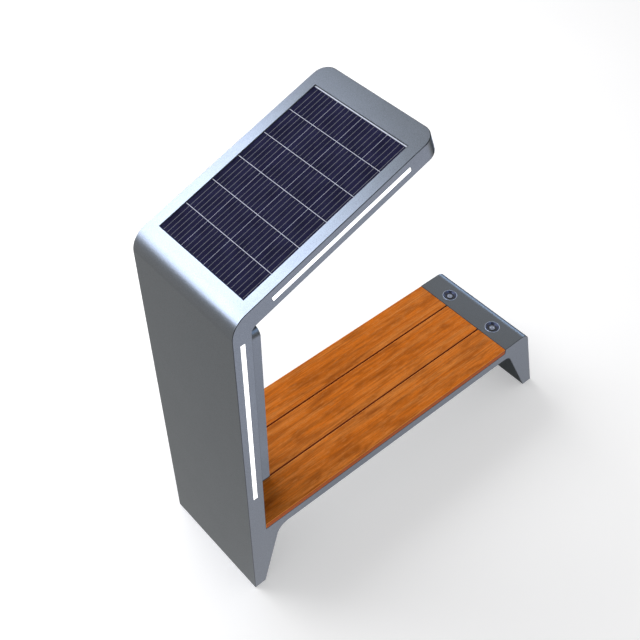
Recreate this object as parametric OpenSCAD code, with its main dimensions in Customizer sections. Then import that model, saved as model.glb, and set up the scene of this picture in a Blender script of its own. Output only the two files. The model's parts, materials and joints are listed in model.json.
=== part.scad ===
// Solar charging bench: a folded steel body carries a solar roof, a timber seat,
// side lights, an equipment column and two charging ports in the end of the seat.
// Sizes are in millimetres. X runs along the seat, Y across it, Z is up.

/* [Body] */
// Overall width, front side face to back side face
bench_w = 600; // [560:10:800]
// Thickness of the folded steel sheet
sheet_t = 4; // [3:0.5:5]
// Depth of the wall, outer face to inner face
wall_t = 84; // [78:1:110]
// Height where the outer wall face and the roof top would meet
roof_corner_h = 1762; // [1650:2:2000]
// Radius of the outer bend from wall to roof
bend_r = 100; // [60:5:140]
// Radius of the inner bend from wall to soffit
inner_bend_r = 30; // [15:5:60]

/* [Roof] */
// Length of the roof along its slope
roof_l = 1000; // [850:10:1200]
// Slope of the roof above level
roof_angle = 20; // [10:1:25]
// Depth of the roof, square to its slope
roof_t = 88; // [76:1:110]
// Plan radius of the two corners at the free end
roof_corner_r = 60; // [20:5:80]

/* [Seat] */
// Height of the seat above the ground
seat_h = 450; // [400:5:500]
// Length of the timber boards
board_l = 1540; // [1350:10:1800]
// Thickness of the timber boards
board_t = 33; // [26:1:42]
// Width of the middle board
middle_board_w = 212; // [180:2:240]
// Gap between two boards
board_gap = 8; // [4:1:12]
// Gap at each end of a board
board_end_gap = 1; // [0.5:0.5:3]
// Chamfer on the long edges of a board
board_edge = 3; // [1:0.5:6]
// Depth of the steel beam under the boards
beam_h = 52; // [44:1:70]
// Length of the flat and rounded steel end beyond the boards
seat_end_w = 166; // [150:2:220]
// Radius of the rounded steel end
seat_corner_r = 58; // [30:2:70]
// Radius where the beam meets the steel end
riser_r = 8; // [4:1:12]

/* [Feet] */
// Width of each foot on the ground
foot_w = 60; // [50:2:80]
// Lean of both outer foot lines from upright
foot_lean = 15; // [8:1:20]
// Lean of the inner face of the end leg from upright
leg_lean = 27; // [20:1:32]
// Radius where the wall foot meets the beam
foot_fillet_r = 65; // [40:5:80]
// Radius where the end leg meets the beam
leg_fillet_r = 55; // [30:5:70]
// Thickness of the base plates
base_t = 8; // [6:1:12]
// Distance between neighbouring anchor holes
anchor_pitch = 220; // [180:10:240]
// Diameter of an anchor hole
anchor_d = 14; // [11:1:18]

/* [Solar panel] */
// Distance of the panel from both ends of the roof
panel_end_margin = 100; // [90:2:130]
// Distance of the panel from both sides of the roof
panel_side_margin = 50; // [46:2:80]
// Depth of the glass below the roof top
panel_recess = 0.6; // [0.3:0.1:0.7]
// Gap between the glass and the edge of its opening
panel_gap = 1.5; // [1:0.5:2]
// Thickness of the glass
glass_t = 3.2; // [2:0.2:4]
// Thickness of the cells
cell_t = 0.6; // [0.4:0.1:1]
// Thickness of the white backsheet
backsheet_t = 0.8; // [0.5:0.1:1.5]
// Number of cell rows along the slope
cell_rows = 6; // [4:1:8]
// Width of a cell across the slope
cell_w = 131.8; // [100:0.2:160]
// Gap between two cells along the slope
cell_row_gap = 3; // [2:0.5:8]
// Gap between two cells across the slope
cell_column_gap = 1.5; // [1:0.5:6]
// Reach of the tray under the roof plate
tray_out = 20; // [16:1:24]
// Reach of the tray under the panel
tray_in = 14; // [10:1:20]
// Thickness of the tray
tray_t = 2; // [1.5:0.5:4]

/* [Lights] */
// Width of a light strip
light_w = 20; // [12:1:30]
// Height of the lower end of the wall light
wall_light_h = 696; // [600:2:800]
// Length of the wall light
wall_light_l = 953; // [600:1:960]
// Start of the roof light along the slope
roof_light_s = 176; // [160:2:260]
// Distance of the roof light from the free end of the roof
roof_light_margin = 148; // [100:2:300]
// Depth of the channel behind a light
channel_d = 12; // [9:1:20]

/* [Column] */
// Depth of the column from the wall
column_d = 170; // [160:1:220]
// Width of the column
column_w = 230; // [220:2:260]
// Height of the column above the seat
column_h = 977; // [900:1:1000]
// Radius of the two upper corners of the column
column_r = 40; // [20:2:50]
// Thickness of the column sheet
column_sheet_t = 3; // [2:0.5:4]
// Width of the frame that shows round the door
door_frame_w = 18; // [17:1:22]
// Height of the lower door edge above the seat
door_rise = 20; // [18:1:40]
// Thickness of the door sheet
door_t = 3; // [2:0.5:4]
// Running gap round the door
door_gap = 2; // [1.5:0.5:3]
// Thickness of the door gasket
gasket_t = 4; // [3:0.5:5]
// Radius of a hinge knuckle
knuckle_r = 5; // [4:0.5:6]
// Length of one hinge
hinge_l = 60; // [45:3:90]
// Diameter of a hinge pin
hinge_pin_d = 5; // [4:0.5:6]
// Diameter of the lock barrel
barrel_d = 16; // [12:1:18]
// Reach of the lock tongue from the barrel axis
tongue_l = 32; // [30:1:34]

/* [Equipment] */
// Depth of the battery
battery_d = 130; // [100:2:132]
// Width of the battery
battery_w = 180; // [120:2:196]
// Height of the battery
battery_h = 210; // [150:5:240]
// Height of the lower edge of the mounting plate above the seat
plate_rise = 410; // [380:5:450]
// Height of the mounting plate
plate_h = 440; // [400:5:460]
// Diameter of the low voltage cables
cable_d = 6; // [4:0.5:8]

/* [Charging ports] */
// Distance of the port axes from the ends of the boards
port_setback = 63; // [50:1:80]
// Distance between the two ports
port_pitch = 300; // [180:5:340]
// Outer diameter of the port bezel
bezel_d = 76; // [76:1:84]
// Outer diameter of the bezel sleeve
sleeve_d = 68; // [62:1:69]
// Outer diameter of the black collar
collar_d = 48.8; // [46:0.2:50]
// Diameter of the push cap
cap_d = 35; // [28:0.5:38]
// Travel of the push cap
cap_travel = 3; // [2:0.5:4]

/* [Fixings] */
// Diameter of a board bolt
bolt_d = 8; // [6:1:10]
// Diameter of a column bolt
column_bolt_d = 8; // [6:1:10]
// Diameter of an under cover screw
cover_screw_d = 6; // [4:1:8]

/* [Clearances] */
// Clearance round a bolt or a light lens
clear = 0.2; // [0.1:0.05:0.4]
// Radial running clearance of turning and sliding parts
running_fit = 0.08; // [0.03:0.01:0.1]
// Gap where a sheet or strip meets a slanted sheet
slant_gap = 0.05; // [0.03:0.01:0.1]

/* [Hidden] */
$fn = 64;

steel_colour = "#8b92a0";
inner_steel_colour = "#a7acb3";
timber_colour = "#c0702a";
black_colour = "#22242a";
light_colour = "#ffffff";
cell_colour = "#22203c";
metal_colour = "#c9ccd2";
brass_colour = "#b79a5a";
glass_colour = "#33345a";
case_colour = "#3a3d44";

// Short distance that carries a cut past a face
past = 1;
arc_steps = 16;

half_w = bench_w / 2;
pan_h = seat_h - board_t;
beam_foot_h = pan_h - beam_h;
riser_x = wall_t + board_l;
bench_l = riser_x + seat_end_w + seat_h * tan(foot_lean);
roof_light_l = roof_l - roof_light_s - roof_light_margin;

// Point of the side view, s along the roof top and h square to it
function roof_point(s, h) = [
    s * cos(roof_angle) - h * sin(roof_angle),
    roof_corner_h + s * sin(roof_angle) + h * cos(roof_angle)
];
soffit_corner_h = roof_corner_h - roof_t / cos(roof_angle) + wall_t * tan(roof_angle);
foot_x = foot_w + beam_foot_h * tan(foot_lean);
leg_x = bench_l - foot_w - beam_foot_h * tan(leg_lean);

// Outline of the bench from the side, anticlockwise from the wall foot
side_points = [
    [0, 0],
    [foot_w, 0],
    [foot_x, beam_foot_h],
    [leg_x, beam_foot_h],
    [bench_l - foot_w, 0],
    [bench_l, 0],
    [bench_l - seat_h * tan(foot_lean), seat_h],
    [riser_x, seat_h],
    [riser_x, pan_h],
    [wall_t, pan_h],
    [wall_t, soffit_corner_h],
    roof_point(roof_l, -roof_t),
    roof_point(roof_l, 0),
    [0, roof_corner_h]
];
side_radii = [
    0, 0, foot_fillet_r, leg_fillet_r, 0, 0, seat_corner_r, 0, riser_r, 0, inner_bend_r, 0, 0, bend_r
];
// The sheet is left out along both feet and across the free roof end
open_edges = [0, 4, 11];
sheet_insets = [
    for (i = [0 : len(side_points) - 1]) len(search(i, open_edges)) > 0 ? -past : sheet_t
];

function unit(v) = v / norm(v);
function left_of(v) = [-v.y, v.x];
function cross_2d(a, b) = a.x * b.y - a.y * b.x;
function neighbour(points, i, step) = points[(i + step + len(points)) % len(points)];
function edge_to(points, i) = unit(points[i] - neighbour(points, i, -1));
function edge_from(points, i) = unit(neighbour(points, i, 1) - points[i]);
function crossing(p, a, q, b) = p + a * cross_2d(q - p, b) / cross_2d(a, b);
// Corner i moved inwards by one distance on the edge before it and by another on the edge after it
function inset_point(points, i, before, after) = crossing(
    points[i] + left_of(edge_to(points, i)) * before, edge_to(points, i),
    points[i] + left_of(edge_from(points, i)) * after, edge_from(points, i)
);
function inset_points(points, insets) = [
    for (i = [0 : len(points) - 1]) inset_point(points, i, neighbour(insets, i, -1), insets[i])
];
function turn_sign(points, i) = sign(cross_2d(edge_to(points, i), edge_from(points, i)));
function inset_radii(points, radii, d) = [
    for (i = [0 : len(points) - 1])
        radii[i] > 0 ? max(radii[i] - d * turn_sign(points, i), 0) : 0
];
// Turn from one direction to another, between -180 and 180 degrees
function short_turn(from, to) = ((to - from + 360 + 180) % 360) - 180;
function on_circle(centre, r, a) = centre + r * [cos(a), sin(a)];
function arc_points(p, back, ahead, r, steps) =
    let (
        half = acos(back * ahead) / 2,
        centre = p + unit(back + ahead) * r / sin(half),
        start = p + back * r / tan(half) - centre,
        stop = p + ahead * r / tan(half) - centre,
        first = atan2(start.y, start.x),
        sweep = short_turn(first, atan2(stop.y, stop.x))
    )
    [for (k = [0 : steps]) on_circle(centre, r, first + sweep * k / steps)];
function corner_points(points, i, r) =
    r > 0 ? arc_points(points[i], -edge_to(points, i), edge_from(points, i), r, arc_steps) : [points[i]];
function rounded(points, radii) = [for (i = [0 : len(points) - 1]) each corner_points(points, i, radii[i])];

module side_outline() {
    polygon(rounded(side_points, side_radii));
}

module side_inside() {
    polygon(rounded(
        inset_points(side_points, sheet_insets),
        inset_radii(side_points, side_radii, sheet_t)
    ));
}

// Moves the bench so that its origin is the middle of its footprint on the ground
module in_place() {
    translate([-bench_l / 2, 0, 0]) children();
}

// Extrudes a side view shape from y0 to y1
module across(y0, y1) {
    translate([0, y1, 0]) rotate([90, 0, 0]) linear_extrude(y1 - y0) children();
}

// Frame with X up the roof slope, Y across it and Z square to it
module on_roof() {
    translate([0, 0, roof_corner_h]) rotate([0, -roof_angle, 0]) children();
}

// Keeps a shape at the front, or mirrors it to the back
module on_side(side) {
    if (side > 0)
        mirror([0, 1, 0]) children();
    else
        children();
}

module block(x, y, z) {
    translate([x[0], y[0], z[0]]) cube([x[1] - x[0], y[1] - y[0], z[1] - z[0]]);
}

// Plan of the free roof end, moved inwards by d
module roof_end_plan(d) {
    start = roof_l - roof_corner_r;
    polygon(rounded(
        [[start, -half_w + d], [roof_l - d, -half_w + d], [roof_l - d, half_w - d], [start, half_w - d]],
        [0, roof_corner_r - d, roof_corner_r - d, 0]
    ));
}

module roof_end_zone() {
    on_roof() translate([0, 0, -roof_t - past]) linear_extrude(roof_t + 2 * past) roof_end_plan(0);
}

// Base plates and skins

wall_plate_x = foot_w - sheet_t / cos(foot_lean) - slant_gap;
leg_plate_x0 = bench_l - foot_w + sheet_t / cos(leg_lean) + slant_gap;
leg_plate_x1 = bench_l - sheet_t / cos(foot_lean) - slant_gap;
wall_anchor_x = foot_w / 2;
leg_anchor_x = bench_l - foot_w / 2;
anchor_ys = [-anchor_pitch, 0, anchor_pitch];

module wall_base_outline() {
    polygon([
        [sheet_t, 0], [wall_plate_x, 0],
        [wall_plate_x + base_t * tan(foot_lean), base_t], [sheet_t, base_t]
    ]);
}

module leg_base_outline() {
    polygon([
        [leg_plate_x0, 0], [leg_plate_x1, 0],
        [leg_plate_x1 - base_t * tan(foot_lean), base_t], [leg_plate_x0 - base_t * tan(leg_lean), base_t]
    ]);
}

module anchor_holes(x) {
    for (y = anchor_ys)
        translate([x, y, -past]) cylinder(d = anchor_d, h = base_t + 2 * past);
}

// One sheet thickness inside the outline, open at the feet and at the roof end
module skin_outline() {
    difference() {
        side_outline();
        side_inside();
    }
}

far = 200;
wall_middle_x = foot_w / 2;
bend_middle = [wall_middle_x, roof_corner_h - roof_t / 2];
roof_middle_end = roof_point(roof_l + far, -roof_t / 2);
roof_tip = roof_point(roof_l, -roof_t);
cover_x0 = foot_x + foot_fillet_r + 10;
cover_x1 = leg_x - leg_fillet_r - 10;
end_skin_x = riser_x - riser_r - 4;
leg_middle_top = [(leg_x + side_points[6].x) / 2, beam_foot_h + 3 * sheet_t];
leg_middle_foot = [leg_anchor_x, -past];
cover_end_gap = 0.5;

module outer_zone() {
    polygon([
        [-past, -past], [wall_middle_x, -past], bend_middle, roof_middle_end,
        roof_point(roof_l + far, far), [-past, roof_corner_h + far]
    ]);
}

module inner_zone() {
    polygon([
        [wall_middle_x, pan_h - sheet_t], [wall_t, pan_h - sheet_t], [wall_t, seat_h],
        [roof_tip.x + far, seat_h], roof_middle_end, bend_middle
    ]);
}

module foot_zone() {
    polygon([
        [wall_middle_x, -past], [cover_x0, -past],
        [cover_x0, pan_h - beam_h / 2], [wall_middle_x, pan_h - beam_h / 2]
    ]);
}

module leg_zone() {
    polygon([
        [cover_x1, -past], leg_middle_foot, leg_middle_top,
        [end_skin_x, pan_h - beam_h / 2], [cover_x1, pan_h - beam_h / 2]
    ]);
}

module end_zone() {
    polygon([
        leg_middle_foot, [bench_l + past, -past], [bench_l + past, seat_h + past],
        [end_skin_x, seat_h + past], [end_skin_x, pan_h - beam_h / 2], leg_middle_top
    ]);
}

module side_plate(side) {
    color(steel_colour) on_side(side) difference() {
        across(-half_w, -half_w + sheet_t) side_outline();
        on_roof() block(
            [roof_l - roof_corner_r, roof_l + far],
            [-half_w - past, -half_w + sheet_t + past],
            [-roof_t - far, far]
        );
        on_wall_light() light_slot(wall_light_l);
        on_roof_light() light_slot(roof_light_l);
    }
}

module roofed_skin() {
    intersection() {
        across(-half_w, half_w) children();
        union() {
            difference() {
                block(
                    [-past, bench_l],
                    [-half_w + sheet_t, half_w - sheet_t],
                    [-past, side_points[12].y + past]
                );
                on_roof() block(
                    [roof_l - roof_corner_r, roof_l + far],
                    [-half_w, half_w],
                    [-roof_t - far, far]
                );
            }
            roof_end_zone();
        }
    }
}

module front_side_plate() in_place() side_plate(-1);
module back_side_plate() in_place() side_plate(1);

module outer_skin() {
    color(steel_colour) in_place() difference() {
        roofed_skin() intersection() {
            skin_outline();
            outer_zone();
        }
        on_roof() block([panel_s0, panel_s1], [-panel_half_w, panel_half_w], [-roof_t / 2, roof_t]);
    }
}

module inner_skin() {
    color(steel_colour) in_place() difference() {
        roofed_skin() intersection() {
            skin_outline();
            inner_zone();
        }
        cable_holes();
        column_bolt_places() cylinder(d = column_bolt_d + 2 * clear, h = far, center = true);
    }
}

module roof_end_cap() {
    reach = roof_t - 2 * sheet_t - 2 * slant_gap;
    color(steel_colour) in_place() on_roof()
        translate([0, 0, sheet_t + slant_gap - roof_t]) linear_extrude(reach) difference() {
            roof_end_plan(0);
            roof_end_plan(sheet_t);
        }
}

module inner_sheet() {
    across(-half_w + sheet_t, half_w - sheet_t) intersection() {
        skin_outline();
        children();
    }
}

module foot_skin() {
    color(steel_colour) in_place() inner_sheet() foot_zone();
}

module leg_skin() {
    color(steel_colour) in_place() inner_sheet() leg_zone();
}

module seat_pan() {
    color(inner_steel_colour) in_place() difference() {
        block([wall_t, end_skin_x], [-half_w + sheet_t, half_w - sheet_t], [pan_h - sheet_t, pan_h]);
        board_bolt_places() cylinder(d = bolt_d + 2 * clear, h = far, center = true);
    }
}

module end_skin() {
    color(steel_colour) in_place() difference() {
        inner_sheet() end_zone();
        port_places(port_ys) cylinder(d = sleeve_d + 2 * clear, h = far, center = true);
    }
}

module wall_base_plate() {
    color(inner_steel_colour) in_place() difference() {
        across(-half_w + sheet_t, half_w - sheet_t) wall_base_outline();
        anchor_holes(wall_anchor_x);
    }
}

module leg_base_plate() {
    color(inner_steel_colour) in_place() difference() {
        across(-half_w + sheet_t, half_w - sheet_t) leg_base_outline();
        anchor_holes(leg_anchor_x);
    }
}

// Bearers and cover under the seat

bearer_w = 40;
bearer_wall = 3;
bearer_count = 5;
bearer_z0 = beam_foot_h + sheet_t;
bearer_z1 = pan_h - sheet_t;
bearer_first = cover_x0 + bearer_w;
bearer_step = (cover_x1 - cover_x0 - 2 * bearer_w) / (bearer_count - 1);
bearer_xs = [for (i = [0 : bearer_count - 1]) bearer_first + i * bearer_step];
cover_screw_ys = [-half_w * 2 / 3, half_w * 2 / 3];
screw_head_h = 3;
screw_tip = 6;

module cover_screw_places() {
    for (x = bearer_xs)
        for (y = cover_screw_ys)
            translate([x, y, beam_foot_h]) children();
}

module seat_bearers() {
    color(inner_steel_colour) in_place() for (x = bearer_xs) difference() {
        block(
            [x - bearer_w / 2, x + bearer_w / 2],
            [-half_w + sheet_t, half_w - sheet_t],
            [bearer_z0, bearer_z1]
        );
        block(
            [x - bearer_w / 2 + bearer_wall, x + bearer_w / 2 - bearer_wall],
            [-half_w, half_w],
            [bearer_z0 + bearer_wall, bearer_z1 - bearer_wall]
        );
        translate([x, charging_cable_y, beam_cable_h]) rotate([0, 90, 0])
            cylinder(d = cable_d + 2 * cable_room, h = 2 * bearer_w, center = true);
        cover_screw_places() cylinder(d = cover_screw_d + 2 * clear, h = beam_h / 2);
    }
}

module under_cover() {
    color(steel_colour) in_place() difference() {
        block(
            [cover_x0 + cover_end_gap, cover_x1 - cover_end_gap],
            [-half_w + sheet_t, half_w - sheet_t],
            [beam_foot_h, beam_foot_h + sheet_t]
        );
        cover_screw_places() {
            translate([0, 0, -past]) cylinder(d = cover_screw_d + 2 * clear, h = sheet_t + 2 * past);
            translate([0, 0, -past])
                cylinder(d1 = 2 * cover_screw_d + 2 * past, d2 = cover_screw_d, h = screw_head_h + past);
        }
    }
}

module cover_screws() {
    color(metal_colour) in_place() cover_screw_places() {
        cylinder(d1 = 2 * cover_screw_d, d2 = cover_screw_d, h = screw_head_h);
        translate([0, 0, screw_head_h])
            cylinder(d = cover_screw_d, h = sheet_t + bearer_wall + screw_tip - screw_head_h);
    }
}

// Ribs

lens_flange_t = 2;
lens_flange_w = 3;
rib_t = 4;
rib_margin = channel_d + lens_flange_t + 6;
rib_half_w = half_w - sheet_t - rib_margin;
rib_rises = [70, 430, 790, 1090];
rib_gap = 2;
cable_room = 4;
wall_cable_x = wall_t / 2;
roof_cable_h = -30;

module wall_ribs() {
    color(inner_steel_colour) in_place() for (rise = rib_rises)
        translate([0, 0, seat_h + rise]) difference() {
            block([sheet_t, wall_t - sheet_t], [-rib_half_w, rib_half_w], [0, rib_t]);
            for (y = [panel_cable_y, charging_cable_y])
                translate([wall_cable_x, y, -past])
                    cylinder(d = cable_d + 2 * cable_room, h = rib_t + 2 * past);
        }
}

module roof_rib(s, top) {
    on_roof() difference() {
        block([s, s + rib_t], [-rib_half_w, rib_half_w], [sheet_t + slant_gap - roof_t, top - slant_gap]);
        translate([s - past, panel_cable_y, roof_cable_h]) rotate([0, 90, 0])
            cylinder(d = cable_d + 2 * cable_room, h = rib_t + 2 * past);
    }
}

module roof_ribs() {
    color(inner_steel_colour) in_place() {
        roof_rib(panel_s0 - tray_out - rib_t - rib_gap, -sheet_t);
        roof_rib(panel_s0 + (panel_s1 - panel_s0) / 3, tray_z0);
        roof_rib(panel_s0 + (panel_s1 - panel_s0) * 2 / 3, tray_z0);
        roof_rib(panel_s1 + tray_out + rib_gap, -sheet_t);
    }
}

// Boards

front_board_y = [-half_w, -middle_board_w / 2 - board_gap];
middle_board_y = [-middle_board_w / 2, middle_board_w / 2];
back_board_y = [middle_board_w / 2 + board_gap, half_w];
board_ys = [front_board_y, middle_board_y, back_board_y];
insert_d = bolt_d + 4;
insert_l = 18;
bolt_grip = 14;
bolt_head_h = 5;
bolt_edge = 45;

module board_bolt_places() {
    for (i = [0 : bearer_count - 2])
        for (ys = board_ys)
            for (y = [ys[0] + bolt_edge, ys[1] - bolt_edge])
                translate([bearer_xs[i] + bearer_w, y, pan_h]) children();
}

module board(ys) {
    color(timber_colour) in_place() difference() {
        translate([wall_t + board_end_gap, 0, 0]) rotate([90, 0, 90])
            linear_extrude(board_l - 2 * board_end_gap) polygon([
                [ys[0], pan_h], [ys[1], pan_h], [ys[1], seat_h - board_edge],
                [ys[1] - board_edge, seat_h], [ys[0] + board_edge, seat_h],
                [ys[0], seat_h - board_edge]
            ]);
        // Relief for the bend where the pan turns up
        across(-half_w - past, half_w + past) polygon([
            [riser_x - riser_r, pan_h - past], [riser_x, pan_h - past],
            [riser_x, pan_h + riser_r], [riser_x - riser_r, pan_h]
        ]);
        board_bolt_places() translate([0, 0, -past])
            cylinder(d = insert_d + 2 * running_fit, h = insert_l + past);
    }
}

module front_board() board(front_board_y);
module middle_board() board(middle_board_y);
module back_board() board(back_board_y);

module board_inserts() {
    color(brass_colour) in_place() board_bolt_places() difference() {
        cylinder(d = insert_d, h = insert_l);
        translate([0, 0, -past]) cylinder(d = bolt_d + 2 * running_fit, h = insert_l - 1);
    }
}

module board_bolts() {
    color(metal_colour) in_place() board_bolt_places() {
        translate([0, 0, -sheet_t]) cylinder(d = bolt_d, h = sheet_t + bolt_grip);
        translate([0, 0, -sheet_t - bolt_head_h]) cylinder(d = 2 * bolt_d, h = bolt_head_h);
    }
}

// Solar panel

panel_s0 = panel_end_margin;
panel_s1 = roof_l - panel_end_margin;
panel_half_w = half_w - panel_side_margin;
glass_z1 = -panel_recess;
glass_z0 = glass_z1 - glass_t;
cell_z0 = glass_z0 - cell_t;
backsheet_z0 = cell_z0 - backsheet_t;
pad_t = 1;
lip_drop = 0.6;
tray_z1 = backsheet_z0 - pad_t;
tray_z0 = tray_z1 - tray_t;
cell_margin = 0.5;
bus_margin = 6;
cell_least_w = 10;
cell_edge = panel_gap + cell_margin;
bus_edge = panel_gap + bus_margin;
cell_field_l = panel_s1 - panel_s0 - cell_edge - bus_edge;
cell_l = (cell_field_l - (cell_rows - 1) * cell_row_gap) / cell_rows;
cell_pitch = cell_l + cell_row_gap;
column_pitch = cell_w + cell_column_gap;
cell_columns = ceil((2 * panel_half_w - cell_edge) / column_pitch);
stud_d = 5;
stud_l = 14;
stud_nut_h = 4;
stud_pitch_s = 190;
stud_pitch_y = 160;

module panel_block(z0, z1, gap) {
    block([panel_s0 + gap, panel_s1 - gap], [-panel_half_w + gap, panel_half_w - gap], [z0, z1]);
}

// Cell columns are counted from the back edge, so the front column is a cut one
module cell_places() {
    for (row = [0 : cell_rows - 1])
        for (column = [0 : cell_columns - 1]) {
            y1 = panel_half_w - cell_edge - column * column_pitch;
            y0 = max(y1 - cell_w, cell_edge - panel_half_w);
            s0 = panel_s0 + cell_edge + row * cell_pitch;
            if (y1 - y0 > cell_least_w)
                block([s0, s0 + cell_l], [y0, y1], [cell_z0, glass_z0]);
        }
}

module pv_glass() {
    color(glass_colour, 0.5) in_place() on_roof() panel_block(glass_z0, glass_z1, panel_gap);
}

module pv_cells() {
    color(cell_colour) in_place() on_roof() cell_places();
}

module pv_backsheet() {
    color(light_colour) in_place() on_roof() panel_block(backsheet_z0, cell_z0, panel_gap);
}

// Strip between tray and roof plate, with a pad under the panel and a lip round it
module pv_seal() {
    color(black_colour) in_place() {
        difference() {
            on_roof() difference() {
                panel_block(tray_z1, -sheet_t - slant_gap, -tray_out);
                panel_block(backsheet_z0, 0, 0);
                panel_block(tray_z1 - past, 0, tray_in);
            }
            tray_stud_places() cylinder(d = stud_d + 2 * clear, h = roof_t, center = true);
        }
        on_roof() difference() {
            panel_block(backsheet_z0 - pad_t / 2, glass_z1 - lip_drop, slant_gap);
            panel_block(tray_z1, 0, panel_gap);
        }
    }
}

module tray_stud_places() {
    s_mid = (panel_s0 + panel_s1) / 2;
    stud_y = panel_half_w + tray_out / 2;
    for (i = [-1.5 : 1.5])
        for (side = [-1, 1])
            on_roof() translate([s_mid + i * stud_pitch_s, side * stud_y, -sheet_t]) children();
    for (y = [-stud_pitch_y, 0, stud_pitch_y])
        for (s = [panel_s0 - tray_out / 2, panel_s1 + tray_out / 2])
            on_roof() translate([s, y, -sheet_t]) children();
}

module pv_tray() {
    color(metal_colour) in_place() difference() {
        on_roof() difference() {
            panel_block(tray_z0, tray_z1, -tray_out);
            panel_block(tray_z0 - past, far, tray_in);
        }
        tray_stud_places() cylinder(d = stud_d + 2 * clear, h = roof_t, center = true);
    }
}

module tray_studs() {
    color(metal_colour) in_place() tray_stud_places() {
        translate([0, 0, -stud_l]) cylinder(d = stud_d, h = stud_l);
        translate([0, 0, tray_z0 + sheet_t - stud_nut_h]) cylinder(d = 2 * stud_d, h = stud_nut_h, $fn = 6);
    }
}

box_l = 80;
box_w = 110;
box_h = 18;
box_inset = 60;
box_s0 = panel_s1 - tray_in - box_inset - box_l;
box_cable_h = backsheet_z0 - box_h / 2;

module junction_box() {
    color(black_colour) in_place() on_roof()
        block([box_s0, box_s0 + box_l], [-box_w / 2, box_w / 2], [backsheet_z0 - box_h, backsheet_z0]);
}

// Lights

channel_wall = 1.5;
light_board_t = 1.6;

module on_wall_light() {
    translate([wall_t / 2, 0, wall_light_h]) rotate([0, -90, 0]) children();
}

module on_roof_light() {
    on_roof() translate([roof_light_s, 0, -roof_t / 2]) children();
}

module light_slot(l) {
    block([0, l], [-half_w - past, -half_w + sheet_t + past], [-light_w / 2, light_w / 2]);
}

module light_lens(l) {
    half = light_w / 2;
    block([clear, l - clear], [-half_w, -half_w + sheet_t], [clear - half, half - clear]);
    block(
        [-lens_flange_w, l + lens_flange_w],
        [-half_w + sheet_t, -half_w + sheet_t + lens_flange_t],
        [-half - lens_flange_w, half + lens_flange_w]
    );
}

module light_channel(l) {
    half = light_w / 2 + lens_flange_w;
    y0 = -half_w + sheet_t + lens_flange_t;
    difference() {
        block([-lens_flange_w, l + lens_flange_w], [y0, y0 + channel_d], [-half, half]);
        block(
            [-far, l + far],
            [y0 - past, y0 + channel_d - channel_wall],
            [channel_wall - half, half - channel_wall]
        );
    }
}

module light_board(l) {
    half = light_w / 2;
    y1 = -half_w + sheet_t + lens_flange_t + channel_d - channel_wall;
    block([0, l], [y1 - light_board_t, y1], [-half, half]);
}

module front_wall_lens() color(light_colour) in_place() on_side(-1) on_wall_light() light_lens(wall_light_l);
module front_roof_lens() color(light_colour) in_place() on_side(-1) on_roof_light() light_lens(roof_light_l);
module back_wall_lens() color(light_colour) in_place() on_side(1) on_wall_light() light_lens(wall_light_l);
module back_roof_lens() color(light_colour) in_place() on_side(1) on_roof_light() light_lens(roof_light_l);

module light_channels() {
    color(metal_colour) in_place() for (side = [-1, 1]) on_side(side) {
        on_wall_light() light_channel(wall_light_l);
        on_roof_light() light_channel(roof_light_l);
    }
}

module light_boards() {
    color(light_colour) in_place() for (side = [-1, 1]) on_side(side) {
        on_wall_light() light_board(wall_light_l);
        on_roof_light() light_board(roof_light_l);
    }
}

// Equipment column

column_x1 = wall_t + column_d;
column_top = seat_h + column_h;
column_half_w = column_w / 2;
door_half_w = column_half_w - door_frame_w - door_gap;
door_z0 = seat_h + door_rise;
door_z1 = column_top - column_r - door_frame_w;
stop_t = 3;
stop_lap = 11;
stop_x1 = column_x1 - door_t - gasket_t;
stop_x0 = stop_x1 - stop_t;
gasket_w = 8;
gasket_squeeze = 0.2;
cable_hole_d = 16;
panel_cable_y = 0;
charging_cable_y = -40;

module column_outline(d) {
    polygon(rounded(
        [
            [-column_half_w + d, seat_h + d], [column_half_w - d, seat_h + d],
            [column_half_w - d, column_top - d], [-column_half_w + d, column_top - d]
        ],
        [0, 0, column_r - d, column_r - d]
    ));
}

module along_column(x0, x1) {
    translate([x0, 0, 0]) rotate([90, 0, 90]) linear_extrude(x1 - x0) children();
}

// Rectangle round the door opening, moved outwards by d
module door_shape(x0, x1, d) {
    half = door_half_w + door_gap + d;
    block([x0, x1], [-half, half], [door_z0 - d, door_z1 + d]);
}

module cable_holes() {
    translate([wall_t, panel_cable_y, controller_hole_h]) rotate([0, 90, 0])
        cylinder(d = cable_hole_d, h = 4 * sheet_t, center = true);
    translate([wall_t, charging_cable_y, power_hole_h]) rotate([0, 90, 0])
        cylinder(d = cable_hole_d, h = 4 * sheet_t, center = true);
}

module column_bolt_places() {
    for (y = [-column_bolt_y, column_bolt_y])
        for (h = [plate_z0 + column_bolt_edge, plate_z1 - column_bolt_edge])
            translate([wall_t, y, h]) rotate([0, 90, 0]) children();
}

module column_housing() {
    color(steel_colour) in_place() difference() {
        along_column(wall_t, column_x1) column_outline(0);
        along_column(wall_t + column_sheet_t, column_x1 - column_sheet_t) column_outline(column_sheet_t);
        door_shape(column_x1 - column_sheet_t - past, column_x1 + past, 0);
        cable_holes();
        column_bolt_places() cylinder(d = column_bolt_d + 2 * clear, h = 4 * column_sheet_t, center = true);
    }
}

module door_stop() {
    color(inner_steel_colour) in_place() difference() {
        block(
            [stop_x0, stop_x1],
            [-column_half_w + column_sheet_t, column_half_w - column_sheet_t],
            [seat_h + column_sheet_t, door_z1 + door_frame_w]
        );
        door_shape(stop_x0 - past, stop_x1 + past, -stop_lap);
    }
}

module door_gasket() {
    color(black_colour) in_place() difference() {
        door_shape(stop_x1, stop_x1 + gasket_t - gasket_squeeze, gasket_w - stop_lap);
        door_shape(stop_x1 - past, column_x1, -stop_lap);
    }
}

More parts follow.
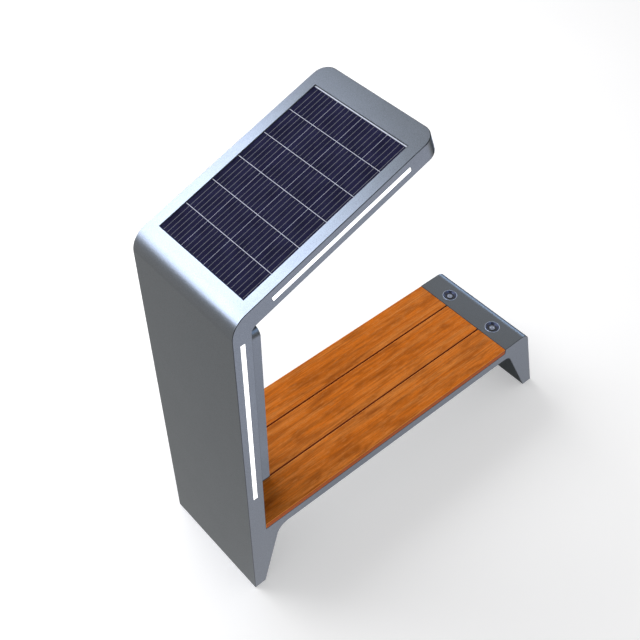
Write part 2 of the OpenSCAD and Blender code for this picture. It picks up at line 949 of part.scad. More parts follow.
knuckle_lift = 0.5;
knuckle_gap = 0.4;
hinge_edge = 110;
hinge_x = column_x1 + knuckle_r + knuckle_lift;
hinge_y = door_half_w + door_gap / 2;
hinge_zs = [door_z0 + hinge_edge, (door_z0 + door_z1) / 2, door_z1 - hinge_edge];
leaf_t = 2;
leaf_w = 16;
leaf_clear = knuckle_r + 1.5;
lock_edge = 27;
lock_y = lock_edge - door_half_w;
lock_z = (door_z0 + door_z1) / 2;
sleeve_wall = 3;
lock_flange_d = barrel_d + 12;
lock_nut_t = 4;
lock_flange_t = 2;
tongue_t = 3;
tongue_w = 14;
tongue_back = 4;
tongue_x0 = stop_x0 - tongue_back - tongue_t;
barrel_proud = 1.5;
key_slot_l = 10;
key_slot_w = 2;
key_slot_deep = 4;
stem_d = 5;
stem_head_h = 2;
stiffener_w = 24;
stiffener_d = 14;
stiffener_wall = 1.5;
stiffener_edge = 40;
stiffener_ys = [-22, 46];

module on_lock() {
    translate([0, lock_y, lock_z]) rotate([0, 90, 0]) children();
}

module column_door() {
    color(steel_colour) in_place() {
        difference() {
            door_shape(column_x1 - door_t, column_x1, -door_gap);
            on_lock() cylinder(d = barrel_d + 2 * sleeve_wall + 2 * clear, h = 2 * column_x1);
        }
        for (y = stiffener_ys) difference() {
            block(
                [column_x1 - door_t - stiffener_d, column_x1 - door_t],
                [y - stiffener_w / 2, y + stiffener_w / 2],
                [door_z0 + stiffener_edge, door_z1 - stiffener_edge]
            );
            block(
                [column_x1 - door_t - stiffener_d + stiffener_wall, column_x1],
                [y - stiffener_w / 2 + stiffener_wall, y + stiffener_w / 2 - stiffener_wall],
                [door_z0, door_z1]
            );
        }
    }
}

// Knuckles of one hinge between two heights, with the leaf they belong to
module knuckle(z0, z1, side, bore) {
    difference() {
        union() {
            translate([hinge_x, hinge_y, z0]) cylinder(r = knuckle_r, h = z1 - z0);
            block(
                [column_x1, column_x1 + leaf_t],
                side > 0 ? [hinge_y, hinge_y + leaf_w] : [hinge_y - leaf_w, hinge_y],
                [z0, z1]
            );
        }
        translate([hinge_x, hinge_y, z0 - past]) cylinder(r = bore, h = z1 - z0 + 2 * past);
    }
}

module housing_hinges() {
    color(metal_colour) in_place() for (z = hinge_zs) {
        bore = hinge_pin_d / 2 + running_fit;
        knuckle(z - hinge_l / 2, z - hinge_l / 6 - knuckle_gap, 1, bore);
        knuckle(z + hinge_l / 6 + knuckle_gap, z + hinge_l / 2, 1, bore);
        block(
            [column_x1, column_x1 + leaf_t],
            [hinge_y + leaf_clear, hinge_y + leaf_w],
            [z - hinge_l / 2, z + hinge_l / 2]
        );
    }
}

module door_hinges() {
    color(metal_colour) in_place() for (z = hinge_zs) {
        knuckle(z - hinge_l / 6, z + hinge_l / 6, -1, hinge_pin_d / 2 + running_fit);
        block(
            [column_x1, column_x1 + leaf_t],
            [hinge_y - leaf_w, hinge_y - leaf_clear],
            [z - hinge_l / 2, z + hinge_l / 2]
        );
    }
}

pin_head_t = 1.5;
pin_head_w = 1.5;

module hinge_pins() {
    color(metal_colour) in_place() for (z = hinge_zs) {
        translate([hinge_x, hinge_y, z - hinge_l / 2]) cylinder(d = hinge_pin_d, h = hinge_l);
        translate([hinge_x, hinge_y, z + hinge_l / 2])
            cylinder(d = hinge_pin_d + 2 * pin_head_w, h = pin_head_t);
    }
}

module lock_sleeve() {
    color(metal_colour) in_place() on_lock() difference() {
        union() {
            translate([0, 0, column_x1]) cylinder(d = lock_flange_d, h = lock_flange_t);
            translate([0, 0, tongue_x0 + tongue_t])
                cylinder(d = barrel_d + 2 * sleeve_wall, h = column_x1 - tongue_x0 - tongue_t);
            translate([0, 0, column_x1 - door_t - lock_nut_t]) cylinder(d = lock_flange_d, h = lock_nut_t);
        }
        cylinder(d = barrel_d + 2 * running_fit, h = 2 * column_x1);
    }
}

// Barrel with a key slot in front, and a stem and screw head that hold the tongue
module lock_barrel() {
    color(metal_colour) in_place() on_lock() {
        difference() {
            translate([0, 0, tongue_x0 + tongue_t])
                cylinder(d = barrel_d, h = column_x1 + barrel_proud - tongue_x0 - tongue_t);
            translate([-key_slot_l / 2, -key_slot_w / 2, column_x1 + barrel_proud - key_slot_deep])
                cube([key_slot_l, key_slot_w, key_slot_deep + past]);
        }
        translate([0, 0, tongue_x0 - stem_head_h]) cylinder(d = stem_d, h = tongue_t + stem_head_h);
        translate([0, 0, tongue_x0 - stem_head_h]) cylinder(d = 2 * stem_d, h = stem_head_h);
    }
}

module lock_tongue() {
    color(metal_colour) in_place() difference() {
        block(
            [tongue_x0, tongue_x0 + tongue_t],
            [lock_y - tongue_w / 2, lock_y + tongue_w / 2],
            [lock_z - barrel_d / 2, lock_z + tongue_l]
        );
        on_lock() cylinder(d = stem_d, h = 2 * column_x1);
    }
}

// Equipment in the column

plate_t = 3;
plate_x1 = wall_t + column_sheet_t + plate_t;
plate_z0 = seat_h + plate_rise;
plate_z1 = plate_z0 + plate_h;
hole_above_plate = 20;
hole_below_plate = 30;
controller_hole_h = plate_z1 + hole_above_plate;
power_hole_h = plate_z0 - hole_below_plate;
floor_h = seat_h + column_sheet_t;
battery_x0 = wall_t + column_sheet_t + 3;
strap_w = 30;
strap_t = 2;

module column_bolts() {
    color(metal_colour) in_place() column_bolt_places() {
        translate([0, 0, -column_bolt_tail])
            cylinder(d = column_bolt_d, h = plate_x1 - wall_t + column_bolt_tail);
        translate([0, 0, plate_x1 - wall_t])
            cylinder(d = hex_head_ratio * column_bolt_d, h = column_bolt_head_h, $fn = 6);
    }
}

module mounting_plate() {
    color(metal_colour) in_place() difference() {
        block([plate_x1 - plate_t, plate_x1], [-plate_half_w, plate_half_w], [plate_z0, plate_z1]);
        column_bolt_places() cylinder(d = column_bolt_d + 2 * clear, h = far, center = true);
    }
}

plate_half_w = 95;
column_bolt_y = 70;
column_bolt_edge = 30;
column_bolt_head_h = 5;
hex_head_ratio = 1.8;
column_bolt_tail = 8;
cable_bend = 4 * cable_d;
grommet_rim = 2;
controller_drop = 60;
controller_l = 130;
power_rise = 120;
power_l = 100;
terminal_rise = 60;
terminal_l = 30;
controller_z = [plate_z1 - controller_drop - controller_l, plate_z1 - controller_drop];
power_z = [plate_z0 + power_rise, plate_z0 + power_rise + power_l];
terminal_z = [plate_z0 + terminal_rise, plate_z0 + terminal_rise + terminal_l];
cable_x = plate_x1 + cable_bend + grommet_rim + 2;
device_x1 = cable_x + cable_d + 2;
device_half_w = 55;
fin_count = 10;
fin_t = 4;
fin_h = 12;
fin_pitch = (2 * device_half_w - fin_t) / (fin_count - 1);
terminal_count = 9;
terminal_pitch = 11;
terminal_hole_d = 5;

module charge_controller() {
    color(black_colour) in_place() {
        block([plate_x1, device_x1], [-device_half_w, device_half_w], controller_z);
        for (i = [0 : fin_count - 1]) {
            y = -device_half_w + i * fin_pitch;
            block([device_x1, device_x1 + fin_h], [y, y + fin_t], controller_z);
        }
    }
}

module power_module() {
    color(metal_colour) in_place() block([plate_x1, device_x1], [-device_half_w, device_half_w], power_z);
}

module terminal_block() {
    middle_z = (terminal_z[0] + terminal_z[1]) / 2;
    color(inner_steel_colour) in_place() difference() {
        block([plate_x1, device_x1], [-device_half_w, device_half_w], terminal_z);
        for (i = [0 : terminal_count - 1])
            translate([cable_x, (i - (terminal_count - 1) / 2) * terminal_pitch, middle_z]) rotate([0, 90, 0])
                cylinder(d = terminal_hole_d, h = device_x1);
    }
}

module battery() {
    color(case_colour) in_place() block(
        [battery_x0, battery_x0 + battery_d],
        [-battery_w / 2, battery_w / 2],
        [floor_h, floor_h + battery_h]
    );
}

module battery_strap() {
    top = floor_h + battery_h;
    front = battery_x0 + battery_d;
    color(metal_colour) in_place() across(-strap_w / 2, strap_w / 2) polygon([
        [wall_t + column_sheet_t, top], [front, top], [front, floor_h], [front + strap_t, floor_h],
        [front + strap_t, top + strap_t], [wall_t + column_sheet_t, top + strap_t]
    ]);
}

// Charging ports, each drawn about its axis with the steel top at zero

port_x = riser_x + port_setback;
port_ys = [-port_pitch / 2, port_pitch / 2];
sleeve_h = 24;
rim_h = 1.6;
rim_w = 3;
dish_drop = 7;
collar_top = -6;
collar_h = 14;
cup_wall = 4;
cup_top = collar_top - collar_h;
cap_top = -4.5;
cap_flange_w = 2;
cap_flange_h = 3;
cap_flange_gap = 0.1;
cap_foot = cup_top - cap_flange_gap - cap_flange_h;
spring_r = 11;
spring_wire = 2;
spring_turns = 5;
spring_reserve = 12;
spring_h = (spring_turns + 1) * spring_wire + spring_reserve + cap_travel;
turn_steps = 20;
cup_h = cup_wall + spring_h + cap_flange_h + cap_flange_gap;
nut_w = 7;
nut_h = 8;

module port_places(ys) {
    for (y = ys)
        translate([port_x, y, seat_h]) children();
}

module ring_profile(points) {
    rotate_extrude() polygon(points);
}

module port_bezel() {
    inner = collar_d / 2;
    outer = sleeve_d / 2;
    rim = bezel_d / 2;
    ring_profile([
        [inner, -sleeve_h], [outer, -sleeve_h], [outer, 0], [rim, 0], [rim, rim_h / 2],
        [rim - rim_w / 2, rim_h], [rim - rim_w, rim_h], [inner, -dish_drop]
    ]);
    translate([0, 0, -sheet_t - nut_h]) difference() {
        cylinder(r = outer + nut_w, h = nut_h);
        translate([0, 0, -past]) cylinder(r = outer + running_fit, h = nut_h + 2 * past);
    }
}

module port_collar() {
    inner = cap_d / 2 + running_fit;
    outer = collar_d / 2;
    ring_profile([
        [inner, cup_top], [outer, cup_top], [outer, collar_top - 1],
        [outer - 1, collar_top], [inner + 1, collar_top], [inner, collar_top - 1]
    ]);
}

module port_body() {
    difference() {
        translate([0, 0, cup_top - cup_h]) cylinder(d = collar_d - 2 * running_fit, h = cup_h);
        translate([0, 0, cup_top - cup_h + cup_wall]) cylinder(d = collar_d - 2 * cup_wall, h = cup_h);
    }
}

module push_cap() {
    r = cap_d / 2;
    ring_profile([
        [0, cap_foot], [r + cap_flange_w, cap_foot], [r + cap_flange_w, cap_foot + cap_flange_h],
        [r, cap_foot + cap_flange_h], [r, cap_top - 1], [r - 1, cap_top], [0, cap_top]
    ]);
}

// Round wire swept along a helix between the cup floor and the cap
module port_spring() {
    z0 = cup_top - cup_h + cup_wall + spring_wire / 2 + cap_flange_gap;
    z1 = cap_foot - spring_wire / 2 - cap_flange_gap;
    steps = spring_turns * turn_steps;
    path = [
        for (i = [0 : steps])
            let (a = 360 * i / turn_steps)
            [spring_r * cos(a), spring_r * sin(a), z0 + (z1 - z0) * i / steps]
    ];
    tube(path, spring_wire, 6, [0, 0, 1]);
}

module port_bezels() color(metal_colour) in_place() port_places(port_ys) port_bezel();
module port_collars() color(black_colour) in_place() port_places(port_ys) port_collar();
module port_bodies() color(black_colour) in_place() port_places(port_ys) port_body();
module front_port_spring() color(metal_colour) in_place() port_places([port_ys[0]]) port_spring();
module back_port_spring() color(metal_colour) in_place() port_places([port_ys[1]]) port_spring();
module front_push_cap() color(metal_colour) in_place() port_places([port_ys[0]]) push_cap();
module back_push_cap() color(metal_colour) in_place() port_places([port_ys[1]]) push_cap();

// Cables, each a round tube swept along a rounded route

function along(path, i) = unit(path[min(i + 1, len(path) - 1)] - path[max(i - 1, 0)]);
function ring_points(p, t, d, sides, flat) =
    let (a = unit(cross(t, flat)), b = cross(t, a))
    [for (k = [0 : sides - 1]) p + d / 2 * (a * cos(360 * k / sides) + b * sin(360 * k / sides))];

// Tube along a path, with flat the direction that the path stays square to
module tube(path, d, sides, flat) {
    rings = [for (i = [0 : len(path) - 1]) each ring_points(path[i], along(path, i), d, sides, flat)];
    last = (len(path) - 1) * sides;
    faces = concat(
        [[for (k = [0 : sides - 1]) k]],
        [[for (k = [sides - 1 : -1 : 0]) last + k]],
        [
            for (i = [0 : len(path) - 2])
                for (k = [0 : sides - 1])
                    [i * sides + k, (i + 1) * sides + (k + 1) % sides, i * sides + (k + 1) % sides]
        ],
        [
            for (i = [0 : len(path) - 2])
                for (k = [0 : sides - 1])
                    [i * sides + k, (i + 1) * sides + k, (i + 1) * sides + (k + 1) % sides]
        ]
    );
    polyhedron(rings, faces, convexity = 10);
}

beam_cable_h = beam_foot_h + beam_h / 2;

bend_steps = 5;
cable_turn = 40;
splitter_w = 24;
splitter_l = 30;
splitter_h = 18;
branch_rise = 4;
branch_h = seat_h + cup_top - cup_h - cable_bend - branch_rise;

// Route through flat corners, with a round bend at each one between its ends
function rounded_route(c) = concat(
    [c[0]],
    [
        for (i = [1 : len(c) - 2])
            each arc_points(c[i], unit(c[i - 1] - c[i]), unit(c[i + 1] - c[i]), cable_bend, bend_steps)
    ],
    [c[len(c) - 1]]
);
function side_route(corners, y) = [for (p = rounded_route(corners)) [p.x, y, p.y]];
function cross_route(corners, x) = [for (p = rounded_route(corners)) [x, p.x, p.y]];

module grommet(y, h) {
    translate([wall_t - sheet_t, y, h]) rotate([0, 90, 0]) difference() {
        union() {
            cylinder(d = cable_hole_d, h = sheet_t + column_sheet_t);
            translate([0, 0, -grommet_rim]) cylinder(d = cable_hole_d + 3 * grommet_rim, h = grommet_rim);
            translate([0, 0, sheet_t + column_sheet_t])
                cylinder(d = cable_hole_d + 3 * grommet_rim, h = grommet_rim);
        }
        translate([0, 0, -far]) cylinder(d = cable_d + 2 * running_fit, h = 2 * far);
    }
}

module panel_cable() {
    color(black_colour) in_place() {
        tube(side_route([
            roof_point(box_s0, box_cable_h),
            roof_point(box_s0 - cable_turn / 2, box_cable_h),
            roof_point(box_s0 - 2 * cable_turn, roof_cable_h),
            roof_point(panel_s0 - tray_out - cable_turn, roof_cable_h),
            [wall_cable_x, soffit_corner_h],
            [wall_cable_x, controller_hole_h],
            [cable_x, controller_hole_h],
            [cable_x, controller_z[1]]
        ], panel_cable_y), cable_d, 10, [0, 1, 0]);
        grommet(panel_cable_y, controller_hole_h);
    }
}

module charging_cable() {
    cup_foot = seat_h + cup_top - cup_h;
    color(black_colour) in_place() {
        tube(side_route([
            [cable_x, terminal_z[0]],
            [cable_x, power_hole_h],
            [wall_cable_x, power_hole_h],
            [wall_cable_x, beam_cable_h],
            [port_x - splitter_w / 2 - 1.4 * cable_turn, beam_cable_h],
            [port_x - splitter_w / 2 - cable_turn / 2, branch_h],
            [port_x - splitter_w / 2, branch_h]
        ], charging_cable_y), cable_d, 10, [0, 1, 0]);
        for (side = [-1, 1])
            tube(cross_route([
                [charging_cable_y + side * splitter_l / 2, branch_h],
                [side * port_pitch / 2, branch_h],
                [side * port_pitch / 2, cup_foot]
            ], port_x), cable_d, 10, [1, 0, 0]);
        grommet(charging_cable_y, power_hole_h);
        block(
            [port_x - splitter_w / 2, port_x + splitter_w / 2],
            [charging_cable_y - splitter_l / 2, charging_cable_y + splitter_l / 2],
            [branch_h - splitter_h / 2, branch_h + splitter_h / 2]
        );
    }
}

front_side_plate();
back_side_plate();
outer_skin();
inner_skin();
roof_end_cap();
foot_skin();
leg_skin();
under_cover();
seat_pan();
end_skin();
wall_base_plate();
leg_base_plate();
wall_ribs();
roof_ribs();
seat_bearers();
cover_screws();
front_board();
middle_board();
back_board();
board_inserts();
board_bolts();
pv_glass();
pv_cells();
pv_backsheet();
pv_seal();
pv_tray();
tray_studs();
junction_box();
front_wall_lens();
front_roof_lens();
back_wall_lens();
back_roof_lens();
light_channels();
light_boards();
column_housing();
door_stop();
door_gasket();
column_door();
housing_hinges();
door_hinges();
hinge_pins();
lock_sleeve();
lock_barrel();
lock_tongue();
column_bolts();
mounting_plate();
charge_controller();
power_module();
terminal_block();
battery();
battery_strap();
port_bezels();
port_collars();
port_bodies();
front_port_spring();
back_port_spring();
front_push_cap();
back_push_cap();
panel_cable();
charging_cable();
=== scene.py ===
"""Visual model of the solar charging bench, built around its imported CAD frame.

Sizes are in metres in the frame of the CAD part: X along the seat, Y across it, Z up.
"""

import json
import math

import bmesh
import bpy
from mathutils import Matrix, Vector

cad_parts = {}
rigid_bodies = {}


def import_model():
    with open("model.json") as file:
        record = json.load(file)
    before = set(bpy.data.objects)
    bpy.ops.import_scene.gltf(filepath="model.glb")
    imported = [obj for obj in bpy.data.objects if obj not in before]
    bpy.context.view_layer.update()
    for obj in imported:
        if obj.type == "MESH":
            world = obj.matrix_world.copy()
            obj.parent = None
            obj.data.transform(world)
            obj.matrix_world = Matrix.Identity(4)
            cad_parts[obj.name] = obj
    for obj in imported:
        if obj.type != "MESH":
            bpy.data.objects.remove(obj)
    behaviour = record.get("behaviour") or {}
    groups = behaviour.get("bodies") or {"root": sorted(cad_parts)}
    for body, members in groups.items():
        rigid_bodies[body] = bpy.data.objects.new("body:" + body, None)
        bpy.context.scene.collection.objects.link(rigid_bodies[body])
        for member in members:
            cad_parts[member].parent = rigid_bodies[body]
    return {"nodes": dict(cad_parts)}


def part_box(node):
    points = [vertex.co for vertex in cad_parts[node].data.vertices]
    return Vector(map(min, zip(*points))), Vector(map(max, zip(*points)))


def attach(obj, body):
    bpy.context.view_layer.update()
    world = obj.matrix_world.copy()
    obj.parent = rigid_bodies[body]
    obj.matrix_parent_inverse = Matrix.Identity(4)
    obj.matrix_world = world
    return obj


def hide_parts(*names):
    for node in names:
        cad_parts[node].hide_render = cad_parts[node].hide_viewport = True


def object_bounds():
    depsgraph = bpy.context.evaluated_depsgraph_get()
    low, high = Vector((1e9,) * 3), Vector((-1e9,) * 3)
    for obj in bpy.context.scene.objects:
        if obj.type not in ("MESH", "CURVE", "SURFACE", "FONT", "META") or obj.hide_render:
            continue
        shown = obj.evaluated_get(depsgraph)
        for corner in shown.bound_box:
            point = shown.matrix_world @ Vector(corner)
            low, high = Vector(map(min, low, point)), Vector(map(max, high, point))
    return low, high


bl_info = {
    "name": "Solar charging bench",
    "version": (1, 0, 0),
    "blender": (4, 5, 0),
    "location": "3D View > Sidebar > Bench",
    "description": "Builds the steel body, timber seat, solar panel, lights, column and ports",
    "category": "Object",
}

for startup_object in list(bpy.data.objects):
    bpy.data.objects.remove(startup_object, do_unlink=True)
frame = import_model()
CAD_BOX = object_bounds()
NODES = frame["nodes"]
COLUMN_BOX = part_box("column_housing")
BEZEL_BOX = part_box("port_bezels")

MM = 0.001
CAMERA_PLACE = (-2.2243, -2.2168, 4.2440)
CAMERA_TILT = math.radians(43.075)
CAMERA_TURN = math.radians(40.923)
CAMERA_LENS_MM = 56.81
HALF_WIDTH = CAD_BOX[1].y

# The roof, and a frame with X up its slope and Z square to its top face
ROOF_SLOPE = math.radians(20)
ROOF_CORNER_H = 1.762
ROOF_LENGTH = 1.0
NOSE_LENGTH = 0.06
ROOF_END = ROOF_LENGTH - NOSE_LENGTH
ROOF_DEPTH = 0.088
FROM_ROOF = Matrix.Translation((CAD_BOX[0].x, 0, ROOF_CORNER_H)) @ Matrix.Rotation(-ROOF_SLOPE, 4, "Y")
TO_ROOF = FROM_ROOF.inverted()

# Ranges that hold the rims of the light slots and of the panel opening
WALL_SLOT_DEPTH = (0.030, 0.054)
WALL_SLOT_HEIGHT = (0.69, 1.655)
ROOF_SLOT_LENGTH = (0.17, 0.86)
ROOF_SLOT_DEPTH = (-0.056, -0.032)
OPENING_LENGTH = (0.095, 0.905)
OPENING_HALF_WIDTH = 0.2505


def linear(text):
    """sRGB hex colour as linear red, green and blue."""
    parts = [int(text[i : i + 2], 16) / 255 for i in (1, 3, 5)]
    return tuple(c / 12.92 if c <= 0.04045 else ((c + 0.055) / 1.055) ** 2.4 for c in parts)


def rgba(colour):
    return (*colour, 1.0)


def shaded(colour, share):
    return [c * share for c in colour]


def per_metre(mm):
    """Texture scale that gives a pattern of that size in millimetres."""
    return 1 / (mm * MM)


def size_property(name, description, mm):
    return bpy.props.FloatProperty(
        name=name, description=description, default=mm * MM, min=0, unit="LENGTH", precision=5
    )


def colour_property(name, description, text):
    return bpy.props.FloatVectorProperty(
        name=name, description=description, default=linear(text), subtype="COLOR", size=3, min=0, max=1
    )


def count_property(name, description, default):
    return bpy.props.IntProperty(name=name, description=description, default=default, min=1, max=12)


class BenchSizes(bpy.types.PropertyGroup):
    steel_edge: size_property("Steel edge", "Radius of the outer edges of the steel body", 3.0)
    cut_edge: size_property("Cut edge", "Radius of the edges of slots and openings", 1.5)
    board_edge: size_property("Board edge", "Radius of the long edges of the boards", 4.0)
    board_wave: size_property("Board wave", "Depth of the gentle waves in a planed board", 0.25)
    cell_width: size_property("Cell width", "Width of a whole solar cell", 131.3)
    row_gap: size_property("Row gap", "Gap between two cells along the slope", 2.6)
    column_gap: size_property("Column gap", "Gap between two cells across the slope", 2.0)
    ribbon_width: size_property("Ribbon width", "Width of a solder ribbon on a cell", 1.7)
    cell_rows: count_property("Cell rows", "Number of cells along the slope", 6)
    ribbons: count_property("Ribbons", "Number of solder ribbons on a whole cell", 5)
    lens_glow: bpy.props.FloatProperty(
        name="Lens glow", description="Strength of the light from the opal lenses", default=1.15, min=0
    )


class BenchColours(bpy.types.PropertyGroup):
    steel: colour_property("Steel paint", "Metallic powder coat of the body", "#5e6164")
    timber: colour_property("Timber", "Main colour of the oiled hardwood", "#d8741c")
    timber_dark: colour_property("Timber figure", "Darker figure of the oiled hardwood", "#9a4e0a")
    timber_pale: colour_property("Timber blush", "Paler bands of the oiled hardwood", "#e28e42")
    cell: colour_property("Cell", "Coated silicon of the solar cells", "#262642")
    ribbon: colour_property("Ribbon", "Tinned ribbon on the solar cells", "#90929a")


def sizes():
    return bpy.context.scene.bench_sizes


def colours():
    return bpy.context.scene.bench_colours


# Nodes


def add(tree, kind, inputs=None, **settings):
    """Adds a node with its settings. Inputs are values, or the sockets that feed them."""
    node = tree.nodes.new(kind)
    for key, value in settings.items():
        setattr(node, key, value)
    for key, value in (inputs or {}).items():
        if isinstance(value, bpy.types.NodeSocket):
            tree.links.new(value, node.inputs[key])
        else:
            node.inputs[key].default_value = value
    return node


def blank_tree(owner):
    """Turns on the nodes of a material or world and empties its tree."""
    owner.use_nodes = True
    owner.node_tree.nodes.clear()
    return owner.node_tree


def new_material(name):
    """A node material with its tree and its Principled shader."""
    material = bpy.data.materials.new(name)
    tree = blank_tree(material)
    shader = add(tree, "ShaderNodeBsdfPrincipled")
    add(tree, "ShaderNodeOutputMaterial", {"Surface": shader.outputs[0]})
    return material, tree, shader


def calc(tree, operation, first, second=0.0):
    return add(tree, "ShaderNodeMath", {0: first, 1: second}, operation=operation).outputs[0]


def vector_calc(tree, operation, first, second=(0.0, 0.0, 0.0)):
    return add(tree, "ShaderNodeVectorMath", {0: first, 1: second}, operation=operation).outputs


def vector_of(tree, x=0.0, y=0.0, z=0.0):
    return add(tree, "ShaderNodeCombineXYZ", {0: x, 1: y, 2: z}).outputs[0]


def part_of(tree, vector, index):
    return add(tree, "ShaderNodeSeparateXYZ", {0: vector}).outputs[index]


def stretched(tree, place, *mm):
    """Coordinates in which a noise of scale 1 has that size in millimetres along X, Y and Z."""
    scale = [per_metre(each) for each in mm]
    return add(tree, "ShaderNodeMapping", {"Vector": place, "Scale": scale}).outputs[0]


def object_place(tree):
    return add(tree, "ShaderNodeTexCoord").outputs["Object"]


def noise(tree, place, scale, detail=2.0, roughness=0.5, distortion=0.0):
    inputs = {"Vector": place, "Scale": scale, "Detail": detail, "Roughness": roughness}
    return add(tree, "ShaderNodeTexNoise", {**inputs, "Distortion": distortion}).outputs["Fac"]


def remap(tree, value, low, high, to_low, to_high):
    inputs = {"Value": value, "From Min": low, "From Max": high, "To Min": to_low, "To Max": to_high}
    return add(tree, "ShaderNodeMapRange", inputs).outputs[0]


def mix_colour(tree, share, first, second):
    node = add(tree, "ShaderNodeMix", data_type="RGBA", blend_type="MIX", clamp_factor=True)
    for key, value in ((0, share), (6, first), (7, second)):
        if isinstance(value, bpy.types.NodeSocket):
            tree.links.new(value, node.inputs[key])
        else:
            node.inputs[key].default_value = value if key == 0 else rgba(value)
    return node.outputs[2]


def bump(tree, shader, height, depth_mm, strength):
    inputs = {"Strength": strength, "Distance": depth_mm * MM, "Height": height}
    node = add(tree, "ShaderNodeBump", inputs)
    tree.links.new(node.outputs[0], shader.inputs["Normal"])


def feed(tree, shader, colour, roughness):
    """Links a shader's colour and roughness, or one of the two."""
    for key, socket in (("Base Color", colour), ("Roughness", roughness)):
        if socket is not None:
            tree.links.new(socket, shader.inputs[key])


def set_shader(shader, **values):
    for key, value in values.items():
        shader.inputs[key.replace("_", " ")].default_value = value


# Materials


def steel_paint(name="satin_flake_powder_coat", shade=1.0):
    """Polyester powder coat with aluminium flake: satin, with a fine glitter that is drawn coarser
    than the real 0.05 mm flake so that it shows, and the faint orange peel of a baked coat. A
    shade below 1 gives a darker copy, laid on the rounded edges as painted shade that draws a dark
    outline along them."""
    material, tree, shader = new_material(name)
    place = object_place(tree)
    flake = noise(tree, place, per_metre(2.6), 3.0, 0.7)
    cloud = noise(tree, place, per_metre(160), 2.0)
    dark, light = (shaded(colours().steel, share * shade) for share in (0.78, 1.22))
    tone = mix_colour(tree, remap(tree, flake, 0.35, 0.65, 0, 1), dark, light)
    feed(tree, shader, tone, remap(tree, cloud, 0.3, 0.7, 0.32, 0.34))
    set_shader(shader, Metallic=0.85)
    bump(tree, shader, noise(tree, place, per_metre(2.4), 2.0), 0.02, 0.3)
    return material


def inner_steel():
    """Galvanised sheet: dull grey zinc with soft spangle some 12 mm wide."""
    material, tree, shader = new_material("galvanised_steel")
    place = object_place(tree)
    spangle = add(tree, "ShaderNodeTexVoronoi", {"Vector": place, "Scale": per_metre(12)})
    cloud = noise(tree, place, per_metre(60), 3.0)
    tone = mix_colour(tree, spangle.outputs["Color"], linear("#8f9498"), linear("#a6abb0"))
    tone = mix_colour(tree, remap(tree, cloud, 0.3, 0.8, 0, 0.4), tone, linear("#7c8185"))
    feed(tree, shader, tone, remap(tree, cloud, 0.3, 0.7, 0.42, 0.6))
    set_shader(shader, Metallic=1.0)
    return material


def timber():
    """Planed and oiled hardwood: orange brown, with soft darker flames and paler bands that follow the
    grain, fine lines, and open pores drawn 1.2 mm wide and 16 mm long, coarser than the real 0.3 mm
    so that they show. Faces turned to the front and back are painted darker and redder as painted
    shade, and the rounded long edges paler as a painted highlight. Each board's grain starts at its
    own attribute."""
    material, tree, shader = new_material("oiled_hardwood")
    start = add(tree, "ShaderNodeAttribute", attribute_name="grain_start").outputs["Vector"]
    place = vector_calc(tree, "ADD", object_place(tree), start)[0]

    def grain(along, across, *settings):
        return noise(tree, stretched(tree, place, along, across, across), 1.0, *settings)

    flame = grain(170, 36, 3.0, 0.55, 0.45)
    band = grain(600, 28, 1.0, 0.5, 0.3)
    line = grain(260, 6.5, 3.0, 0.6)
    mottle = grain(34, 9, 2.0, 0.5, 0.2)
    pore = grain(16, 1.2, 1.0)
    normal = add(tree, "ShaderNodeNewGeometry").outputs["Normal"]
    side = calc(tree, "ABSOLUTE", part_of(tree, normal, 1))
    pale = remap(tree, band, 0.42, 0.7, 0, 0.6)
    tone = mix_colour(tree, pale, colours().timber, colours().timber_pale)
    tone = mix_colour(tree, remap(tree, flame, 0.45, 0.72, 0, 0.8), tone, colours().timber_dark)
    for pattern, low, high, share, colour in (
        (mottle, 0.5, 0.78, 0.35, "#e09a58"),
        (line, 0.42, 0.7, 0.55, "#8a420e"),
        (pore, 0.56, 0.72, 0.36, "#6a3408"),
        # Picked by which way the face turns: a painted highlight on the rounded long edges, then
        # painted shade on the front and back faces
        (side, 0.15, 0.5, 0.75, "#f4a050"),
        (side, 0.75, 0.97, 0.85, "#a04416"),
    ):
        tone = mix_colour(tree, remap(tree, pattern, low, high, 0, share), tone, linear(colour))
    feed(tree, shader, tone, remap(tree, line, 0.3, 0.7, 0.45, 0.6))
    set_shader(shader, Specular_IOR_Level=0.05)
    bump(tree, shader, remap(tree, pore, 0.5, 0.75, 1, 0), 0.15, 0.6)
    return material


def grained_material(name, grain_mm, tones, roughness):
    """Material whose colour and roughness vary with one noise, sized along X, Y and Z."""
    material, tree, shader = new_material(name)
    grain = noise(tree, stretched(tree, object_place(tree), *grain_mm), 1.0)
    feed(tree, shader, mix_colour(tree, grain, *tones), remap(tree, grain, 0.3, 0.7, *roughness))
    return material, tree, shader, grain


def metal(name, grain_mm, tones, roughness):
    material, _, shader, _ = grained_material(name, grain_mm, tones, roughness)
    set_shader(shader, Metallic=1.0)
    return material


def brushed_steel():
    """Brushed stainless steel: pale grey metal with fine scratches along X."""
    tone = linear("#b9bcc2")
    return metal("brushed_stainless_steel", (30, 0.5, 0.5), (shaded(tone, 0.85), tone), (0.23, 0.37))


